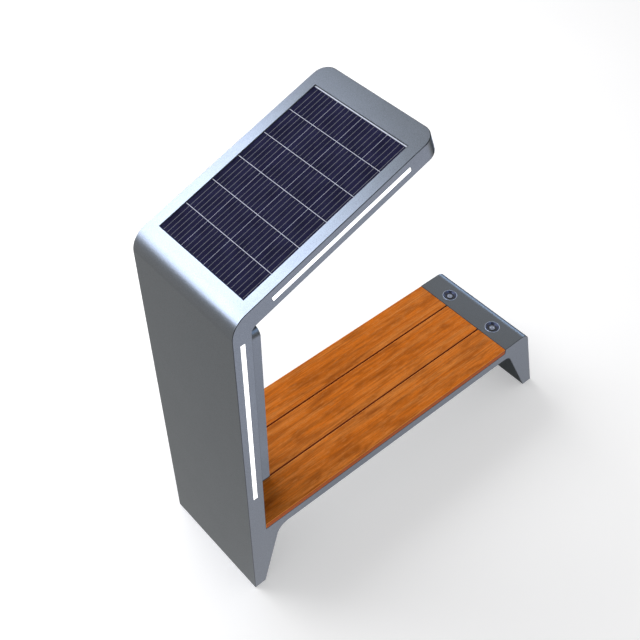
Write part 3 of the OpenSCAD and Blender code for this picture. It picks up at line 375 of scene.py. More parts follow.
def turned_steel(name, inner, outer, change_mm):
    """Turned steel with faint rings 0.8 mm apart round the axes of the two ports. It has one colour
    inside a radius and another outside it."""
    material, tree, shader = new_material(name)
    radius = (BEZEL_BOX[1].x - BEZEL_BOX[0].x) / 2
    axis = (BEZEL_BOX[0].x + radius, BEZEL_BOX[1].y - radius, 0)
    folded = vector_calc(tree, "ABSOLUTE", object_place(tree))[0]
    away = vector_calc(tree, "SUBTRACT", folded, axis)[0]
    level = vector_calc(tree, "MULTIPLY", away, (1, 1, 0))[0]
    ring = vector_calc(tree, "LENGTH", level)["Value"]
    wave = calc(tree, "SINE", calc(tree, "MULTIPLY", ring, 2 * math.pi * per_metre(0.8)))
    outside = remap(tree, ring, (change_mm - 0.3) * MM, (change_mm + 0.3) * MM, 0, 1)
    colour = mix_colour(tree, outside, linear(inner), linear(outer))
    colour = mix_colour(tree, remap(tree, wave, -1, 1, 0, 0.2), colour, linear("#2c2f38"))
    feed(tree, shader, colour, remap(tree, wave, -1, 1, 0.32, 0.38))
    set_shader(shader, Metallic=0.6)
    return material


def aluminium():
    """Extruded aluminium with a clear anodised skin: even, pale and satin, with faint die lines."""
    tones = (linear("#aeb2b6"), linear("#c6cace"))
    return metal("anodised_aluminium", (90, 1.2, 1.2), tones, (0.36, 0.46))


def brass():
    """Turned brass of the threaded inserts: warm, with a dull film."""
    return metal("dull_brass", (3, 3, 3), (linear("#8d7434"), linear("#c0a058")), (0.3, 0.45))


def plastic(name, colour, grit_mm, roughness):
    """Moulded plastic with a fine spark eroded grain."""
    tones = [shaded(linear(colour), share) for share in (0.8, 1.2)]
    spread = (roughness - 0.06, roughness + 0.06)
    material, tree, shader, grit = grained_material(name, [grit_mm] * 3, tones, spread)
    bump(tree, shader, grit, 0.03, 0.4)
    return material


def rubber():
    """Extruded EPDM rubber: near black and matt, with a faint bloom."""
    material, tree, shader = new_material("epdm_rubber")
    bloom = noise(tree, object_place(tree), per_metre(18), 3.0)
    colour = mix_colour(tree, remap(tree, bloom, 0.4, 0.8, 0, 1), linear("#17181b"), linear("#2b2d31"))
    feed(tree, shader, colour, remap(tree, bloom, 0.3, 0.7, 0.6, 0.75))
    return material


def silicon_cell():
    """Monocrystalline silicon with a blue nitride coat: near black navy, with the silver fingers
    of the print 2 mm apart, read from the place attribute of the sheet."""
    material, tree, shader = new_material("coated_silicon_cell")
    place = add(tree, "ShaderNodeAttribute", attribute_name="sheet_place").outputs["Vector"]
    turns = calc(tree, "MULTIPLY", part_of(tree, place, 0), per_metre(2.0))
    finger = calc(tree, "PINGPONG", turns, 1.0)
    cloud = noise(tree, place, per_metre(70), 2.0)
    dark, light = (shaded(colours().cell, share) for share in (0.8, 1.25))
    cell = mix_colour(tree, remap(tree, cloud, 0.3, 0.7, 0, 1), dark, light)
    cell = mix_colour(tree, remap(tree, finger, 0.0, 0.07, 0.14, 0.0), cell, linear("#6a6c7c"))
    feed(tree, shader, cell, None)
    set_shader(shader, Roughness=0.35, Specular_IOR_Level=0.0)
    return material


def ribbon_metal():
    """Tinned copper ribbon, soldered down: soft grey metal with a slightly uneven skin."""
    tones = [shaded(colours().ribbon, share) for share in (0.8, 1.2)]
    material, _, shader, _ = grained_material("tinned_ribbon", (6, 6, 6), tones, (0.4, 0.55))
    set_shader(shader, Specular_IOR_Level=0.0)
    return material


def white_sheet():
    """White laminated sheet and lamp board: matt, with a very faint weave."""
    tones = (linear("#e2eaff"), linear("#eef4ff"))
    material, _, shader, _ = grained_material("white_laminate", (3, 3, 3), tones, (0.5, 0.65))
    set_shader(shader, Specular_IOR_Level=0.1)
    return material


def panel_glass():
    """Toughened low-iron glass with an etched anti-reflective face: it takes the sheen away and lets
    nearly all light through, so that it is drawn as a thin dark film with a faint roller wave."""
    material, tree, shader = new_material("toughened_glass")
    wave = noise(tree, object_place(tree), per_metre(220), 1.0)
    feed(tree, shader, None, remap(tree, wave, 0.3, 0.7, 0.5, 0.6))
    set_shader(shader, Base_Color=rgba(linear("#1a1e2c")), Alpha=0.03, Specular_IOR_Level=0.0)
    return material


def opal_lens():
    """Opal acrylic lens, lit from behind: an even white glow with the faintest trace of the diodes."""
    material, tree, shader = new_material("opal_acrylic")
    trace = noise(tree, object_place(tree), per_metre(14), 1.0)
    white = linear("#ffffff")
    feed(tree, shader, mix_colour(tree, trace, linear("#f6f8fb"), white), None)
    set_shader(shader, Roughness=0.35, Emission_Color=rgba(white), Emission_Strength=sizes().lens_glow)
    return material


MAKERS = {
    "steel_paint": steel_paint,
    # Darker copy of the coat for the rounded steel edges: painted shade that draws dark outlines
    "steel_edge": lambda: steel_paint("painted_shade_edge_coat", 0.3),
    "inner_steel": inner_steel,
    "timber": timber,
    "stainless_steel": brushed_steel,
    "insert_brass": brass,
    "panel_glass": panel_glass,
    "silicon_cell": silicon_cell,
    "white_sheet": white_sheet,
    "aluminium_section": aluminium,
    "black_rubber": rubber,
    "black_plastic": lambda: plastic("black_polyamide", "#1c1d21", 0.9, 0.45),
    "battery_case": lambda: plastic("grey_battery_case", "#3a3d42", 1.2, 0.5),
    "terminal_plastic": lambda: plastic("grey_terminal_polyamide", "#8d9196", 0.8, 0.5),
    "opal_lens": opal_lens,
    # The bezel's dish, inside 35.1 mm, is darker than its rim: painted shade that stands in for a dark
    # reflection
    "bezel_steel": lambda: turned_steel("bezel_steel_painted_dark_dish", "#3c4054", "#a8b0c0", 35.1),
    "cap_steel": lambda: turned_steel("cap_steel_dark_outer_ring", "#868c9c", "#101116", 14.5),
    "pale_nylon": lambda: plastic("pale_contact_nylon", "#dde2ee", 0.8, 0.4),
    "ribbon": ribbon_metal,
}
made_materials = {}


def finish_of(slot):
    if slot not in made_materials:
        made_materials[slot] = MAKERS[slot]()
    return made_materials[slot]


# Meshes


JOIN_DISTANCE = 0.01 * MM
FLAT_ANGLE = math.radians(0.5)
SHARP_ANGLE = math.radians(25)
SHADING_ANGLE = 35


def new_object(name, mesh):
    piece = bpy.data.objects.new(name, mesh)
    bpy.context.scene.collection.objects.link(piece)
    return piece


def apply_modifiers(piece):
    """Puts what the modifiers make into the mesh and removes them."""
    depsgraph = bpy.context.evaluated_depsgraph_get()
    mesh = bpy.data.meshes.new_from_object(piece.evaluated_get(depsgraph), depsgraph=depsgraph)
    piece.modifiers.clear()
    piece.data = mesh
    mesh.name = piece.name


def smooth(piece, angle=SHADING_ANGLE):
    """Smooth shading between sharp edges, with the flat faces kept flat."""
    piece.data.shade_smooth()
    piece.data.set_sharp_from_angle(angle=math.radians(angle))
    weighted = piece.modifiers.new("flat faces", "WEIGHTED_NORMAL")
    weighted.keep_sharp = True
    weighted.weight = 100
    apply_modifiers(piece)


def merged_copy(node):
    """Copy of a CAD node's mesh with its corners joined and its flat faces whole."""
    shape = bmesh.new()
    shape.from_mesh(NODES[node].data)
    bmesh.ops.remove_doubles(shape, verts=shape.verts, dist=JOIN_DISTANCE)
    parts = {"verts": shape.verts, "edges": shape.edges}
    bmesh.ops.dissolve_limit(shape, angle_limit=FLAT_ANGLE, use_dissolve_boundaries=False, **parts)
    return shape


def soften(shape, rule, widest, segments=3):
    """Rounds the edges of a shape. The rule gives each sharp edge a share of the widest radius."""
    layer = shape.edges.layers.float.new("bevel_weight_edge")
    for edge in shape.edges:
        sharp = len(edge.link_faces) == 2 and edge.calc_face_angle(0) > SHARP_ANGLE
        edge[layer] = rule(edge) if sharp else 0
    mesh = bpy.data.meshes.new("softened")
    shape.to_mesh(mesh)
    shape.free()
    piece = new_object("softened", mesh)
    bevel = piece.modifiers.new("edges", "BEVEL")
    bevel.limit_method = "WEIGHT"
    bevel.offset_type = "OFFSET"
    bevel.width = widest
    bevel.segments = segments
    bevel.use_clamp_overlap = True
    bevel.miter_outer = "MITER_SHARP"
    return piece


def dress(node, name, rule, widest, slot, body, segments=3, finish=None):
    """Piece that stands for a CAD node: a copy of its mesh with rounded edges."""
    piece = soften(merged_copy(node), rule, widest, segments)
    piece.name = name
    piece.data.materials.clear()
    piece.data.materials.append(finish_of(finish or slot))
    # The rounded edges of painted steel take the darker coat as painted shade, a dark outline
    if slot == "steel_paint":
        piece.data.materials.append(finish_of("steel_edge"))
        piece.modifiers["edges"].material = 1
    apply_modifiers(piece)
    smooth(piece)
    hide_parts(node)
    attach(piece, body)
    return piece


def everywhere(edge):
    return 1.0


def nowhere(edge):
    return 0


def middle(edge):
    return (edge.verts[0].co + edge.verts[1].co) / 2


def box_of(points):
    """Lowest and highest corner of the box round some points."""
    return tuple(Vector([pick(at[i] for at in points) for i in range(3)]) for pick in (min, max))


def centre_of(low, high):
    return (low + high) / 2


# Steel body


def near(value, target, tolerance=0.05 * MM):
    return abs(value - target) < tolerance


def within(value, limits):
    return limits[0] < value < limits[1]


def in_slot(point):
    """True on the rim of one of the four light slots."""
    at = TO_ROOF @ point
    wall = within(point.x - CAD_BOX[0].x, WALL_SLOT_DEPTH) and within(point.z, WALL_SLOT_HEIGHT)
    return wall or within(at.x, ROOF_SLOT_LENGTH) and within(at.z, ROOF_SLOT_DEPTH)


def cheek_rule(edge):
    """Round outer edges, small edges round the light slots, square where the skins are welded on."""
    if not all(near(abs(v.co.y), HALF_WIDTH) for v in edge.verts):
        return 0
    point = middle(edge)
    if in_slot(point):
        return sizes().cut_edge / sizes().steel_edge
    if near((TO_ROOF @ point).x, ROOF_END, 0.5 * MM):
        return 0
    return 1.0


OPENING_EDGE_SHARE = 0.4


def on_opening(at):
    level = near(at.z, 0, 0.1 * MM)
    return level and within(at.x, OPENING_LENGTH) and abs(at.y) < OPENING_HALF_WIDTH


def skin_rule(edge):
    """Round edges round the free roof end, small edges round the panel opening."""
    spots = [TO_ROOF @ v.co for v in edge.verts]
    if all(on_opening(at) for at in spots):
        return OPENING_EDGE_SHARE * sizes().cut_edge / sizes().steel_edge
    if not all(at.x > ROOF_END - 0.1 * MM for at in spots):
        return 0
    level = all(near(at.z, 0) for at in spots) or all(near(at.z, -ROOF_DEPTH) for at in spots)
    inner_end = all(near(at.x, ROOF_END) for at in spots)
    return 1.0 if level and not inner_end else 0


STEEL_SHEETS = (
    ("front_side_plate", "front_cheek", cheek_rule),
    ("back_side_plate", "back_cheek", cheek_rule),
    ("outer_skin", "outer_sheet", skin_rule),
    ("inner_skin", "inner_sheet", skin_rule),
    ("roof_end_cap", "roof_nose", nowhere),
    ("end_skin", "seat_end_sheet", nowhere),
    ("foot_skin", "foot_sheet", nowhere),
    ("leg_skin", "leg_sheet", nowhere),
    ("under_cover", "beam_cover", nowhere),
)


class BENCH_OT_steel_body(bpy.types.Operator):
    """Builds the folded and welded steel sheets of the body"""

    bl_idname = "bench.steel_body"
    bl_label = "Steel body"

    def execute(self, context):
        for node, name, rule in STEEL_SHEETS:
            dress(node, name, rule, sizes().steel_edge, "steel_paint", "bench")
        return {"FINISHED"}


# Geometry node trees


def new_tree(name, inputs):
    """Geometry tree with named inputs, and the sockets that give them."""
    tree = bpy.data.node_groups.new(name, "GeometryNodeTree")
    tree.interface.new_socket("Geometry", in_out="INPUT", socket_type="NodeSocketGeometry")
    for label, kind, value in inputs:
        socket = tree.interface.new_socket(label, in_out="INPUT", socket_type=f"NodeSocket{kind}")
        if value is not None:
            socket.default_value = value
    tree.interface.new_socket("Geometry", in_out="OUTPUT", socket_type="NodeSocketGeometry")
    return tree, add(tree, "NodeGroupInput").outputs


def realized(tree, geometry):
    return add(tree, "GeometryNodeRealizeInstances", {0: geometry}).outputs[0]


def end_tree(tree, geometry, given):
    """Ends a tree in Realize Instances and Set Material."""
    inputs = {"Geometry": realized(tree, geometry), "Material": given["Material"]}
    add(tree, "NodeGroupOutput", {0: add(tree, "GeometryNodeSetMaterial", inputs).outputs[0]})


def grow(name, tree, values, mesh=None):
    """Runs a tree on a mesh and keeps the result as the object's plain mesh."""
    piece = new_object(name, mesh or bpy.data.meshes.new(name))
    piece.data.materials.append(values["Material"])
    modifier = piece.modifiers.new(tree.name, "NODES")
    modifier.node_group = tree
    for item in tree.interface.items_tree:
        if item.in_out == "INPUT" and item.name in values:
            modifier[item.identifier] = values[item.name]
    apply_modifiers(piece)
    return piece


def moved(tree, geometry, offset=(0.0, 0.0, 0.0), turn=(0.0, 0.0, 0.0)):
    inputs = {"Geometry": geometry, "Translation": offset, "Rotation": turn}
    return add(tree, "GeometryNodeTransform", inputs).outputs[0]


def instances(tree, points, shape, scale=(1.0, 1.0, 1.0)):
    inputs = {"Points": points, "Instance": shape, "Scale": scale}
    return add(tree, "GeometryNodeInstanceOnPoints", inputs).outputs[0]


def point_line(tree, count, step, start=(0.0, 0.0, 0.0), mode="OFFSET"):
    """Points in a line. In the mode END_POINTS the step is the place of the last point."""
    inputs = {"Count": count, "Start Location": start, "Offset": step}
    return add(tree, "GeometryNodeMeshLine", inputs, mode=mode).outputs[0]


def store(tree, geometry, name, value):
    """Keeps a vector on each point as a named attribute."""
    inputs = {"Geometry": geometry, "Name": name, "Value": value}
    settings = {"data_type": "FLOAT_VECTOR", "domain": "POINT"}
    return add(tree, "GeometryNodeStoreNamedAttribute", inputs, **settings).outputs[0]


def position_y(tree):
    return part_of(tree, add(tree, "GeometryNodeInputPosition").outputs[0], 1)


# Screws


def solid_boxes(node):
    """Lowest and highest corner of each separate solid of a CAD node."""
    shape = merged_copy(node)
    boxes, seen = [], set()
    for first in shape.verts:
        if first in seen:
            continue
        group, queue = [], [first]
        seen.add(first)
        while queue:
            vert = queue.pop()
            group.append(vert.co.copy())
            fresh = {edge.other_vert(vert) for edge in vert.link_edges} - seen
            seen |= fresh
            queue.extend(fresh)
        boxes.append(box_of(group))
    shape.free()
    return boxes


SCREW_INPUTS = [
    ("Head radius", "Float", 0.006),
    ("Head height", "Float", 0.003),
    ("Shank radius", "Float", 0.003),
    ("Shank length", "Float", 0.01),
    ("Socket radius", "Float", 0.002),
    ("Socket depth", "Float", 0.0016),
    ("Turn", "Vector", (0, 0, 0)),
    ("Material", "Material", None),
]


def cylinder(tree, sides, radius, depth):
    inputs = {"Vertices": sides, "Radius": radius, "Depth": depth}
    return add(tree, "GeometryNodeMeshCylinder", inputs).outputs["Mesh"]


def screw_tree():
    """Countersunk screws with hexagon sockets, one on each point, with the head facing minus Z
    before it is turned."""
    tree, given = new_tree("socket screws", SCREW_INPUTS)
    cone = {
        "Vertices": 40,
        "Radius Top": given["Shank radius"],
        "Radius Bottom": given["Head radius"],
        "Depth": given["Head height"],
    }
    head = add(tree, "GeometryNodeMeshCone", cone).outputs["Mesh"]
    socket_depth = calc(tree, "MULTIPLY", given["Socket depth"], 2.0)
    socket = cylinder(tree, 6, given["Socket radius"], socket_depth)
    cut = add(tree, "GeometryNodeMeshBoolean", {0: head, 1: socket}, operation="DIFFERENCE")
    shank = cylinder(tree, 24, given["Shank radius"], given["Shank length"])
    half = calc(tree, "MULTIPLY", given["Shank length"], 0.5)
    raised = calc(tree, "ADD", half, given["Head height"])
    whole = add(tree, "GeometryNodeJoinGeometry", {0: cut.outputs[0]})
    tree.links.new(moved(tree, shank, vector_of(tree, 0.0, 0.0, raised)), whole.inputs[0])
    turned = moved(tree, whole.outputs[0], turn=given["Turn"])
    end_tree(tree, instances(tree, given["Geometry"], turned), given)
    return tree


def grow_screws(name, spots, body, values):
    """One mesh of screws, with their heads at the spots."""
    points = bpy.data.meshes.new(name)
    points.from_pydata(spots, [], [])
    screws = grow(name, screw_tree(), {**values, "Material": finish_of("stainless_steel")}, points)
    screws.data.set_sharp_from_angle(angle=math.radians(30))
    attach(screws, body)
    return screws


BEAM_HEAD_HEIGHT = 3 * MM
BEAM_SOCKET_SHARE = 0.38
LEAF_THICKNESS = 2 * MM
LEAF_SCREW_INSET = 5.2 * MM
LEAF_SCREW_PITCH = 26 * MM
LEAF_SCREW_PROUD = 0.15 * MM


class BENCH_OT_screws(bpy.types.Operator):
    """Builds the screws of the beam cover and of the hinge leaves"""

    bl_idname = "bench.screws"
    bl_label = "Screws"

    def execute(self, context):
        boxes = solid_boxes("cover_screws")
        low, high = boxes[0]
        radius = (high.x - low.x) / 2
        beam = grow_screws(
            "beam_screws",
            [((a.x + b.x) / 2, (a.y + b.y) / 2, a.z) for a, b in boxes],
            "bench",
            {
                "Head radius": radius,
                "Head height": BEAM_HEAD_HEIGHT,
                "Shank radius": radius / 2,
                "Shank length": high.z - low.z - BEAM_HEAD_HEIGHT,
                "Socket radius": radius * BEAM_SOCKET_SHARE,
                "Socket depth": 1.8 * MM,
            },
        )
        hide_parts("cover_screws")
        for node, body, side in (("housing_hinges", "bench", 1), ("door_hinges", "door", -1)):
            spots = []
            for low, high in solid_boxes(node):
                x = low.x + LEAF_THICKNESS + LEAF_SCREW_PROUD
                y = (high.y if side > 0 else low.y) - side * LEAF_SCREW_INSET
                z = centre_of(low, high).z
                spots += [(x, y, z + step * LEAF_SCREW_PITCH) for step in (-1, 0, 1)]
            grow_screws(
                f"{body}_leaf_screws",
                spots,
                body,
                {
                    "Head radius": 3.2 * MM,
                    "Head height": 1.4 * MM,
                    "Shank radius": 1.6 * MM,
                    "Shank length": 0.5 * MM,
                    "Socket radius": 1.3 * MM,
                    "Socket depth": 0.9 * MM,
                    "Turn": (0, -math.pi / 2, 0),
                },
            )
        return {"FINISHED"}


# Timber seat


PLANK_INPUTS = [
    ("Length", "Float", 1.538),
    ("Width", "Float", 0.2),
    ("Thickness", "Float", 0.033),
    ("Centre", "Vector", (0, 0, 0)),
    ("Wave", "Float", 0.0002),
    ("Seed", "Int", 1),
    ("Material", "Material", None),
]
GRAIN_START_LIMIT = (40.0, 3.0, 3.0)


def plank_tree():
    """A board: a long block with very gentle planing waves, and where its grain starts."""
    tree, given = new_tree("plank", PLANK_INPUTS)
    size = vector_of(tree, given["Length"], given["Width"], given["Thickness"])
    cube = {"Size": size, "Vertices X": 60, "Vertices Y": 8, "Vertices Z": 2}
    block = add(tree, "GeometryNodeMeshCube", cube)
    placed = moved(tree, block.outputs["Mesh"], given["Centre"])
    place = add(tree, "GeometryNodeInputPosition").outputs[0]
    inputs = {"Vector": place, "W": given["Seed"], "Scale": per_metre(240), "Detail": 1.0}
    wave = add(tree, "ShaderNodeTexNoise", inputs, noise_dimensions="4D").outputs["Fac"]
    depth = calc(tree, "MULTIPLY", calc(tree, "MULTIPLY", wave, given["Wave"]), -1.0)
    top = part_of(tree, add(tree, "GeometryNodeInputNormal").outputs[0], 2)
    depth = calc(tree, "MULTIPLY", depth, calc(tree, "GREATER_THAN", top, 0.2))
    inputs = {"Geometry": placed, "Offset": vector_of(tree, 0.0, 0.0, depth)}
    bent = add(tree, "GeometryNodeSetPosition", inputs)
    inputs = {
        0: tuple(-limit for limit in GRAIN_START_LIMIT),
        1: GRAIN_START_LIMIT,
        "ID": add(tree, "FunctionNodeInputInt", integer=0).outputs[0],
        "Seed": given["Seed"],
    }
    start = add(tree, "FunctionNodeRandomValue", inputs, data_type="FLOAT_VECTOR").outputs[0]
    end_tree(tree, store(tree, bent.outputs[0], "grain_start", start), given)
    return tree


class BENCH_OT_boards(bpy.types.Operator):
    """Builds the three timber boards of the seat"""

    bl_idname = "bench.boards"
    bl_label = "Timber boards"

    def execute(self, context):
        tree = plank_tree()
        for seed, node in enumerate(("front_board", "middle_board", "back_board"), 3):
            low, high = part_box(node)
            size = high - low
            piece = grow(
                node.replace("_board", "_plank"),
                tree,
                {
                    "Length": size.x,
                    "Width": size.y,
                    "Thickness": size.z,
                    "Centre": centre_of(low, high),
                    "Wave": sizes().board_wave,
                    "Seed": seed,
                    "Material": finish_of("timber"),
                },
            )
            bevel = piece.modifiers.new("edges", "BEVEL")
            bevel.width = sizes().board_edge
            bevel.segments = 4
            bevel.limit_method = "ANGLE"
            bevel.angle_limit = math.radians(50)
            apply_modifiers(piece)
            smooth(piece, 60)
            # The boards stay out of reflections, so that the paint beside them mirrors the studio
            piece.visible_glossy = False
            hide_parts(node)
            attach(piece, "bench")
        return {"FINISHED"}


# Solar panel


def cell_points(tree, given):
    """One point at the upper back corner of each cell, in roof coordinates."""
    pitch_s = calc(tree, "ADD", given["Cell length"], given["Row gap"])
    pitch_y = calc(tree, "ADD", given["Cell width"], given["Column gap"])
    rows = point_line(tree, given["Rows"], vector_of(tree, pitch_s), given["First corner"])
    step_y = calc(tree, "MULTIPLY", pitch_y, -1.0)
    columns = point_line(tree, given["Columns"], vector_of(tree, 0.0, step_y))
    return realized(tree, instances(tree, rows, columns))


def corner_block(tree):
    """Block of one metre whose first corner is its origin and which runs towards negative Y."""
    block = add(tree, "GeometryNodeMeshCube", {"Size": (1, 1, 1)})
    return moved(tree, block.outputs["Mesh"], (0.5, -0.5, 0.5))


def lay_on_roof(tree, geometry, given):
    """Keeps the roof coordinates as the attribute sheet_place, then lays the sheet on the roof."""
    place = add(tree, "GeometryNodeInputPosition").outputs[0]
    kept = store(tree, realized(tree, geometry), "sheet_place", place)
    return moved(tree, kept, given["Roof corner"], (0, -ROOF_SLOPE, 0))


CELL_INPUTS = [
    ("Cell length", "Float", 0.128),
    ("Cell width", "Float", 0.1308),
    ("Row gap", "Float", 0.0045),
    ("Column gap", "Float", 0.0025),
    ("Rows", "Int", 6),
    ("Columns", "Int", 4),
    ("First corner", "Vector", (0.102, 0.248, -0.0044)),
    ("Front limit", "Float", -0.248),
    ("Thickness", "Float", 0.0006),
    ("Ribbons", "Int", 5),
    ("Ribbon width", "Float", 0.0014),
    ("Ribbon end", "Float", 0.0025),
    ("Roof corner", "Vector", (0, 0, 0)),
    ("Material", "Material", None),
]


def cell_tree():
    """The cells, in rows and columns, with the front column cut to fit."""
    tree, given = new_tree("solar cells", CELL_INPUTS)
    points = cell_points(tree, given)
    room = calc(tree, "SUBTRACT", position_y(tree), given["Front limit"])
    width = calc(tree, "MINIMUM", given["Cell width"], room)
    size = vector_of(tree, given["Cell length"], width, given["Thickness"])
    blocks = instances(tree, points, corner_block(tree), size)
    end_tree(tree, lay_on_roof(tree, blocks, given), given)
    return tree


def ribbon_tree():
    """The solder ribbons: evenly spread on each cell, and left out past a cut cell's edge."""
    tree, given = new_tree("solder ribbons", CELL_INPUTS)
    points = cell_points(tree, given)
    strips = calc(tree, "ADD", given["Ribbons"], 1.0)
    pitch = calc(tree, "DIVIDE", given["Cell width"], strips)
    step = vector_of(tree, 0.0, calc(tree, "MULTIPLY", pitch, -1.0))
    half_width = calc(tree, "MULTIPLY", given["Ribbon width"], 0.5)
    start = vector_of(tree, given["Ribbon end"], calc(tree, "SUBTRACT", half_width, pitch))
    line = point_line(tree, given["Ribbons"], step, start)
    spread = realized(tree, instances(tree, points, line))
    limit = calc(tree, "ADD", given["Front limit"], given["Ribbon width"])
    over = calc(tree, "LESS_THAN", position_y(tree), limit)
    inside = add(tree, "GeometryNodeDeleteGeometry", {"Geometry": spread, "Selection": over})
    ends = calc(tree, "MULTIPLY", given["Ribbon end"], 2.0)
    length = calc(tree, "SUBTRACT", given["Cell length"], ends)
    size = vector_of(tree, length, given["Ribbon width"], given["Thickness"])
    blocks = instances(tree, inside.outputs[0], corner_block(tree), size)
    end_tree(tree, lay_on_roof(tree, blocks, given), given)
    return tree


RIBBON_THICKNESS = 0.15 * MM
RIBBON_END = 2.5 * MM
RIBBON_SUNK = 0.02 * MM
GLASS_MIDDLE = -2.2 * MM
GLASS_RAISED = 0.3 * MM


class BENCH_OT_solar_panel(bpy.types.Operator):
    """Builds the cells, ribbons, glass and seal of the solar panel"""

    bl_idname = "bench.solar_panel"
    bl_label = "Solar panel"

    def execute(self, context):
        low, high = box_of([TO_ROOF @ v.co for v in NODES["pv_cells"].data.vertices])
        rows = sizes().cell_rows
        values = {
            "Rows": rows,
            "Cell length": (high.x - low.x - (rows - 1) * sizes().row_gap) / rows,
            "Cell width": sizes().cell_width,
            "Row gap": sizes().row_gap,
            "Column gap": sizes().column_gap,
            "First corner": (low.x, high.y, low.z),
            "Front limit": low.y,
            "Thickness": high.z - low.z,
            "Roof corner": FROM_ROOF.translation,
            "Material": finish_of("silicon_cell"),
        }
        cells = grow("solar_cells", cell_tree(), values)
        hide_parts("pv_cells")
        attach(cells, "bench")
        values.update({
            "Ribbons": sizes().ribbons,
            "Ribbon width": sizes().ribbon_width,
            "Ribbon end": RIBBON_END,
            "First corner": (low.x, high.y, high.z - RIBBON_SUNK),
            "Thickness": RIBBON_THICKNESS,
            "Material": finish_of("ribbon"),
        })
        ribbons = grow("cell_ribbons", ribbon_tree(), values)
        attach(ribbons, "bench")
        # The lower face of the glass is drawn clear of the ribbons, under the same top face
        glass = dress("pv_glass", "cover_glass", everywhere, 0.5 * MM, "panel_glass", "bench")
        down = Vector((math.sin(ROOF_SLOPE), 0, -math.cos(ROOF_SLOPE)))
        for vertex in glass.data.vertices:
            if (TO_ROOF @ vertex.co).z < GLASS_MIDDLE:
                vertex.co -= down * GLASS_RAISED
        dress("pv_seal", "panel_seal", nowhere, 0.1 * MM, "black_rubber", "bench")
        return {"FINISHED"}


# Lights


class BENCH_OT_light_strips(bpy.types.Operator):
    """Builds the four glowing light strips"""

    bl_idname = "bench.light_strips"
    bl_label = "Light strips"

    def execute(self, context):
        for side in ("front", "back"):
            for place in ("wall", "roof"):
                name = f"{side}_{place}"
                dress(f"{name}_lens", f"{name}_light", everywhere, 0.3 * MM, "opal_lens", "bench", 2)
        return {"FINISHED"}


# Equipment column


COLUMN_EDGE = 4 * MM
COLUMN_SMALL_EDGE = 1.2 * MM


def column_rule(edge):
    """Wide rounds along the two side faces, where the sheet is folded, and small edges elsewhere."""
    low, high = COLUMN_BOX
    point = middle(edge)
    folded = all(near(abs(v.co.y), high.y) for v in edge.verts)
    free = point.z > low.z + 1 * MM and point.x > low.x + 1 * MM
    return 1.0 if folded and free else COLUMN_SMALL_EDGE / COLUMN_EDGE


class BENCH_OT_column(bpy.types.Operator):
    """Builds the equipment column with its door and lock"""

    bl_idname = "bench.column"
    bl_label = "Equipment column"

    def execute(self, context):
        dress("column_housing", "column_shell", column_rule, COLUMN_EDGE, "steel_paint", "bench", 4)
        dress("column_door", "door_leaf", everywhere, 0.7 * MM, "steel_paint", "door")
        dress("lock_sleeve", "lock_housing", everywhere, 0.4 * MM, "stainless_steel", "door", 2)
        dress("lock_barrel", "lock_cylinder", everywhere, 0.3 * MM, "stainless_steel", "lock", 2)
        return {"FINISHED"}


# Charging ports


PIN_INPUTS = [
    ("Pins", "Int", 2),
    ("Reach", "Float", 0.0046),
    ("Pin radius", "Float", 0.002),
    ("Centre", "Vector", (0, 0, 0)),
    ("Turn", "Vector", (0, 0, 0)),
    ("Material", "Material", None),
]


def pin_tree():
    """Domed contact pins in a row across the middle of a cap."""
    tree, given = new_tree("contact pins", PIN_INPUTS)
    back = vector_of(tree, calc(tree, "MULTIPLY", given["Reach"], -1.0))
    row = point_line(tree, given["Pins"], vector_of(tree, given["Reach"]), back, "END_POINTS")
    sphere = {"Segments": 20, "Rings": 10, "Radius": given["Pin radius"]}
    dome = add(tree, "GeometryNodeMeshUVSphere", sphere).outputs[0]
    end_tree(tree, moved(tree, instances(tree, row, dome), given["Centre"], given["Turn"]), given)
    return tree


class BENCH_OT_charging_ports(bpy.types.Operator):
    """Builds the bezels, collars and push caps of the charging ports"""

    bl_idname = "bench.charging_ports"
    bl_label = "Charging ports"

    def execute(self, context):
        steel = "stainless_steel"
        dress("port_bezels", "port_rims", everywhere, 0.4 * MM, steel, "bench", finish="bezel_steel")
        dress("port_collars", "port_rings", everywhere, 0.3 * MM, "black_plastic", "bench")
        for side in ("front", "back"):
            cap, body = f"{side}_push_cap", f"{side}_cap"
            dress(cap, f"{side}_port_cap", everywhere, 0.4 * MM, steel, body, finish="cap_steel")
            low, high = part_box(cap)
            centre = centre_of(low, high)
            pins = grow(
                f"{side}_contact_pins",
                pin_tree(),
                {
                    "Pins": 2,
                    "Reach": 6.5 * MM,
                    "Pin radius": 2.4 * MM,
                    "Centre": (centre.x, centre.y, high.z),
                    # The two pins stand side by side as seen from the camera
                    "Turn": (0, 0, -CAMERA_TURN),
                    "Material": finish_of("pale_nylon"),
                },
            )
            smooth(pins)
            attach(pins, body)
        return {"FINISHED"}


# Nodes that are shown as the CAD model has them


class BENCH_OT_inner_parts(bpy.types.Operator):
    """Gives every CAD part that is shown as it is its material"""

    bl_idname = "bench.inner_parts"
    bl_label = "Inner parts"

    def execute(self, context):
        for piece in NODES.values():
            if piece.hide_render:
                continue
            slot = piece.data.materials[0].name
            piece.data.materials[0] = finish_of(slot)
            piece.data.set_sharp_from_angle(angle=math.radians(30))
        return {"FINISHED"}


# Stage


# Strength above which a card is sampled as a light
SAMPLED_STRENGTH = 5
SKY_SEEN = 0.9
SKY_LIGHT = 0.5
FLOOR_GLOW = 0.28
FLOOR_SIZE = (60, 60)

BENCH_MIDDLE = (-0.3, 0, 1.2)
BEND = (-0.87, 0.0, 1.77)
SEAT_END = (0.95, 0.0, 0.45)
COLUMN_TOP = (-0.72, -0.1, 1.42)
COLUMN_UPPER = (-0.72, -0.1, 1.41)

